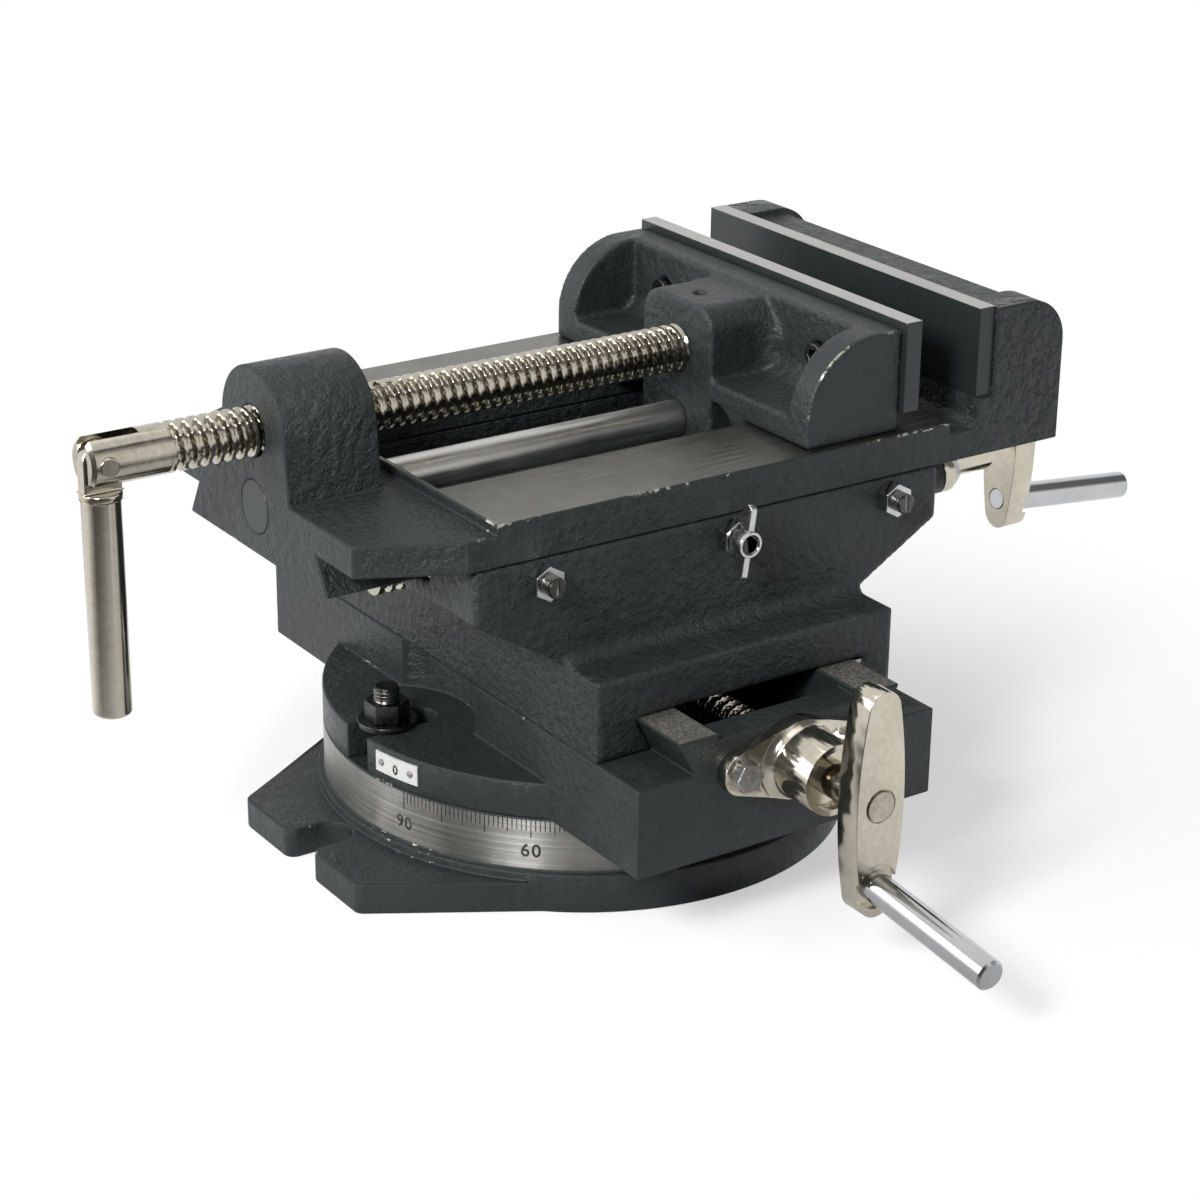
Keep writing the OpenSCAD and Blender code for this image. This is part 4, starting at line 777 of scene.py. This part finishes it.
low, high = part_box("vise_screw")
thread_from, thread_to = low.y + PLAIN_END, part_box("moving_jaw")[0].y - SEAT_PLAY
threaded_piece(
    "vise_screw_threaded", "vise_screw", "jaw_screw", SHADED_NICKEL,
    thread_mesh("vise_thread", (0, thread_from, (low.z + high.z) / 2), (0, 1, 0), thread_to - thread_from,
                (high.x - low.x) / 2, VISE_DEPTH, THREAD_PITCH),
    [((0, thread_from, 0), (0, -1, 0)), ((0, thread_to, 0), (0, 1, 0))])

low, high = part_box("cross_screw")
thread_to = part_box("cross_bracket")[0].x - COLLAR_L
threaded_piece(
    "cross_screw_threaded", "cross_screw", "cross_crank", SHADED_NICKEL,
    thread_mesh("cross_thread", (low.x, 0, (low.z + high.z) / 2), (1, 0, 0), thread_to - low.x,
                LEAD_R, LEAD_DEPTH, THREAD_PITCH),
    [((thread_to, 0, 0), (1, 0, 0))])

low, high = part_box("long_screw")
thread_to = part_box("long_bracket")[0].y - COLLAR_L
threaded_piece(
    "long_screw_threaded", "long_screw", "long_crank", SHADED_NICKEL,
    thread_mesh("long_thread", (0, low.y, (low.z + high.z) / 2), (0, 1, 0), thread_to - low.y,
                LEAD_R, LEAD_DEPTH, THREAD_PITCH),
    [((0, thread_to, 0), (0, 1, 0))])

# %% [markdown]
# ## Stud threads
# The ends of the clamping bolts and of the gib studs stand out of their nuts. Each gets a short sleeve of
# the same thread form at its own fine pitch.

# %% Stud threads
STUD_SHORT, STUD_PROUD, STUD_DEPTH = 0.3 * MM, 0.35 * MM, 0.4 * MM
BOLT_CIRCLE, BOLT_R, BOLT_PITCH = 77 * MM, 4 * MM, 1.25 * MM
GIB_PITCH = 1 * MM


def stud_sleeve(name, start, along, length, radius, pitch, body):
    """A thread that stands a little out of a plain stud and stops just short of its end."""
    mesh = thread_mesh(name, start, along, length - STUD_SHORT, radius + STUD_PROUD, STUD_DEPTH, pitch)
    mesh.shade_smooth()
    add_piece(name, mesh, STUD, body)


bolt_top, bolt_nut_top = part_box("swivel_t_bolts")[1].z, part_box("swivel_nuts")[1].z
for name, y in (("bolt_thread_front", -BOLT_CIRCLE), ("bolt_thread_rear", BOLT_CIRCLE)):
    stud_sleeve(name, (0, y, bolt_nut_top), (0, 0, 1), bolt_top - bolt_nut_top, BOLT_R, BOLT_PITCH, "swivel")
low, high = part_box("long_gib_screws")
stud_r, stud_z = (high.z - low.z) / 2, (low.z + high.z) / 2
stud_nut_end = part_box("long_gib_nuts")[1].x
for name, y in (("gib_thread_tail", low.y + stud_r), ("gib_thread_head", high.y - stud_r)):
    stud_sleeve(name, (stud_nut_end, y, stud_z), (1, 0, 0), high.x - stud_nut_end, stud_r, GIB_PITCH,
                "saddle")

# %% [markdown]
# ## Marks on a cylinder
# A mark lies on a round face: distance along the face becomes an angle about the Z axis. Numbers are text,
# swollen and thickened a hair before they are wrapped.

# %% Marks on a cylinder
LINE_PROUD = 0.03 * MM
TEXT_SIZE_SHARE, TEXT_SPACING, TEXT_STEPS = 1.38, 1.15, 6


def wrap(points, radius):
    """Points given as (angle in degrees, height, distance out) on a cylinder of a radius about the Z axis."""
    angle, height, out = np.radians(points[:, 0]), points[:, 1], points[:, 2] + radius
    return np.stack([out * np.cos(angle), out * np.sin(angle), height], -1)


def text_arrays(words, height, weight):
    """The points and triangles of a line of text, centred, swollen by a weight, thickened and lying in its
    own plane."""
    curve = bpy.data.curves.new("text", "FONT")
    curve.body, curve.size, curve.space_character = words, height * TEXT_SIZE_SHARE, TEXT_SPACING
    curve.extrude, curve.offset, curve.resolution_u = LINE_PROUD, weight, TEXT_STEPS
    curve.align_x, curve.align_y = "CENTER", "CENTER"
    holder = bpy.data.objects.new("text", curve)
    mesh = bpy.data.meshes.new_from_object(holder)
    points = np.zeros(len(mesh.vertices) * 3)
    mesh.vertices.foreach_get("co", points)
    mesh.calc_loop_triangles()
    faces = np.zeros(len(mesh.loop_triangles) * 3, np.int32)
    mesh.loop_triangles.foreach_get("vertices", faces)
    bpy.data.objects.remove(holder)
    bpy.data.curves.remove(curve)
    bpy.data.meshes.remove(mesh)
    points = points.reshape(-1, 3)
    points[:, :2] -= (points[:, :2].min(0) + points[:, :2].max(0)) / 2
    return points, faces.reshape(-1, 3)


def wrapped_text(words, height, weight, angle, z, radius):
    """Text carried round the ring: its x becomes an angle, its y a height and its depth stays radial."""
    points, faces = text_arrays(words, height, weight)
    turned = np.stack([angle + np.degrees(points[:, 0] / radius), z + points[:, 1], points[:, 2]], -1)
    return wrap(turned, radius), faces


def marking(name, parts, finish, body):
    """One piece from several point and face arrays."""
    offset, points, faces = 0, [], []
    for part_points, part_faces in parts:
        points.append(part_points)
        faces.extend((part_faces + offset).tolist())
        offset += len(part_points)
    add_piece(name, plain_mesh(name, np.concatenate(points), faces), finish, body)


print("marks stand", round(LINE_PROUD / MM, 3), "mm out of their face")

# %% [markdown]
# ## Swivel scale
# The turned ring is divided into degrees, from 90 through 0 to 90, with longer lines at fives and tens and
# a number every thirty. Each line is a thin bar wrapped on the ring.

# %% Swivel scale
SCALE_ZERO, SCALE_HALF = 16, 90
LINE_WIDTH, LINE_GAP = 0.38 * MM, 0.3 * MM
LINE_LENGTHS = {1: 4.0 * MM, 5: 5.0 * MM, 10: 6.5 * MM}
NUMBER_STEP, NUMBER_HEIGHT, NUMBER_WEIGHT, NUMBER_Z = 30, 4.6 * MM, 0.1 * MM, 20.6 * MM
CUBE_FACES = np.array([[0, 2, 3, 1], [4, 5, 7, 6], [0, 1, 5, 4], [2, 6, 7, 3], [0, 4, 6, 2], [1, 3, 7, 5]])


def scale_lines():
    """All lines at once: a box of half width, length and depth at each degree, as (angle, height, out)."""
    degree = np.arange(-SCALE_HALF, SCALE_HALF + 1)
    length = np.where(degree % 10 == 0, LINE_LENGTHS[10],
                      np.where(degree % 5 == 0, LINE_LENGTHS[5], LINE_LENGTHS[1]))
    corner = np.array([[a, b, c] for c in (-1, 1) for b in (0, 1) for a in (-1, 1)], float)
    half_angle = math.degrees(LINE_WIDTH / 2 / RING_R)
    angle = SCALE_ZERO + degree[:, None] + corner[None, :, 0] * half_angle
    height = RING_TOP - LINE_GAP - corner[None, :, 1] * length[:, None]
    out = np.broadcast_to(corner[None, :, 2] * LINE_PROUD, angle.shape)
    points = wrap(np.stack([angle, height, out], -1).reshape(-1, 3), RING_R)
    faces = (np.arange(len(degree))[:, None, None] * len(corner) + CUBE_FACES[None]).reshape(-1, 4)
    return points, faces


numbers = [wrapped_text(str(abs(d)), NUMBER_HEIGHT, NUMBER_WEIGHT, SCALE_ZERO + d, NUMBER_Z, RING_R)
           for d in range(-SCALE_HALF, SCALE_HALF + 1, NUMBER_STEP)]
marking("ring_scale", [scale_lines(), *numbers], engraving, "base")

# %% [markdown]
# ## Index plate
# A small white plate on the swivel flange carries the zero that the ring is read against.

# %% Index plate
INDEX_ANGLE, INDEX_OUT, INDEX_DROP = -76, 0.6 * MM, 0.6 * MM
ZERO_HEIGHT, ZERO_WEIGHT = 3.3 * MM, 0.16 * MM
plate_low, plate_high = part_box("index_plate")
zero_z = (plate_low.z + plate_high.z) / 2 - INDEX_DROP
zero = wrapped_text("0", ZERO_HEIGHT, ZERO_WEIGHT, INDEX_ANGLE, zero_z, RING_R + INDEX_OUT)
marking("index_zero", [zero], engraving, "swivel")
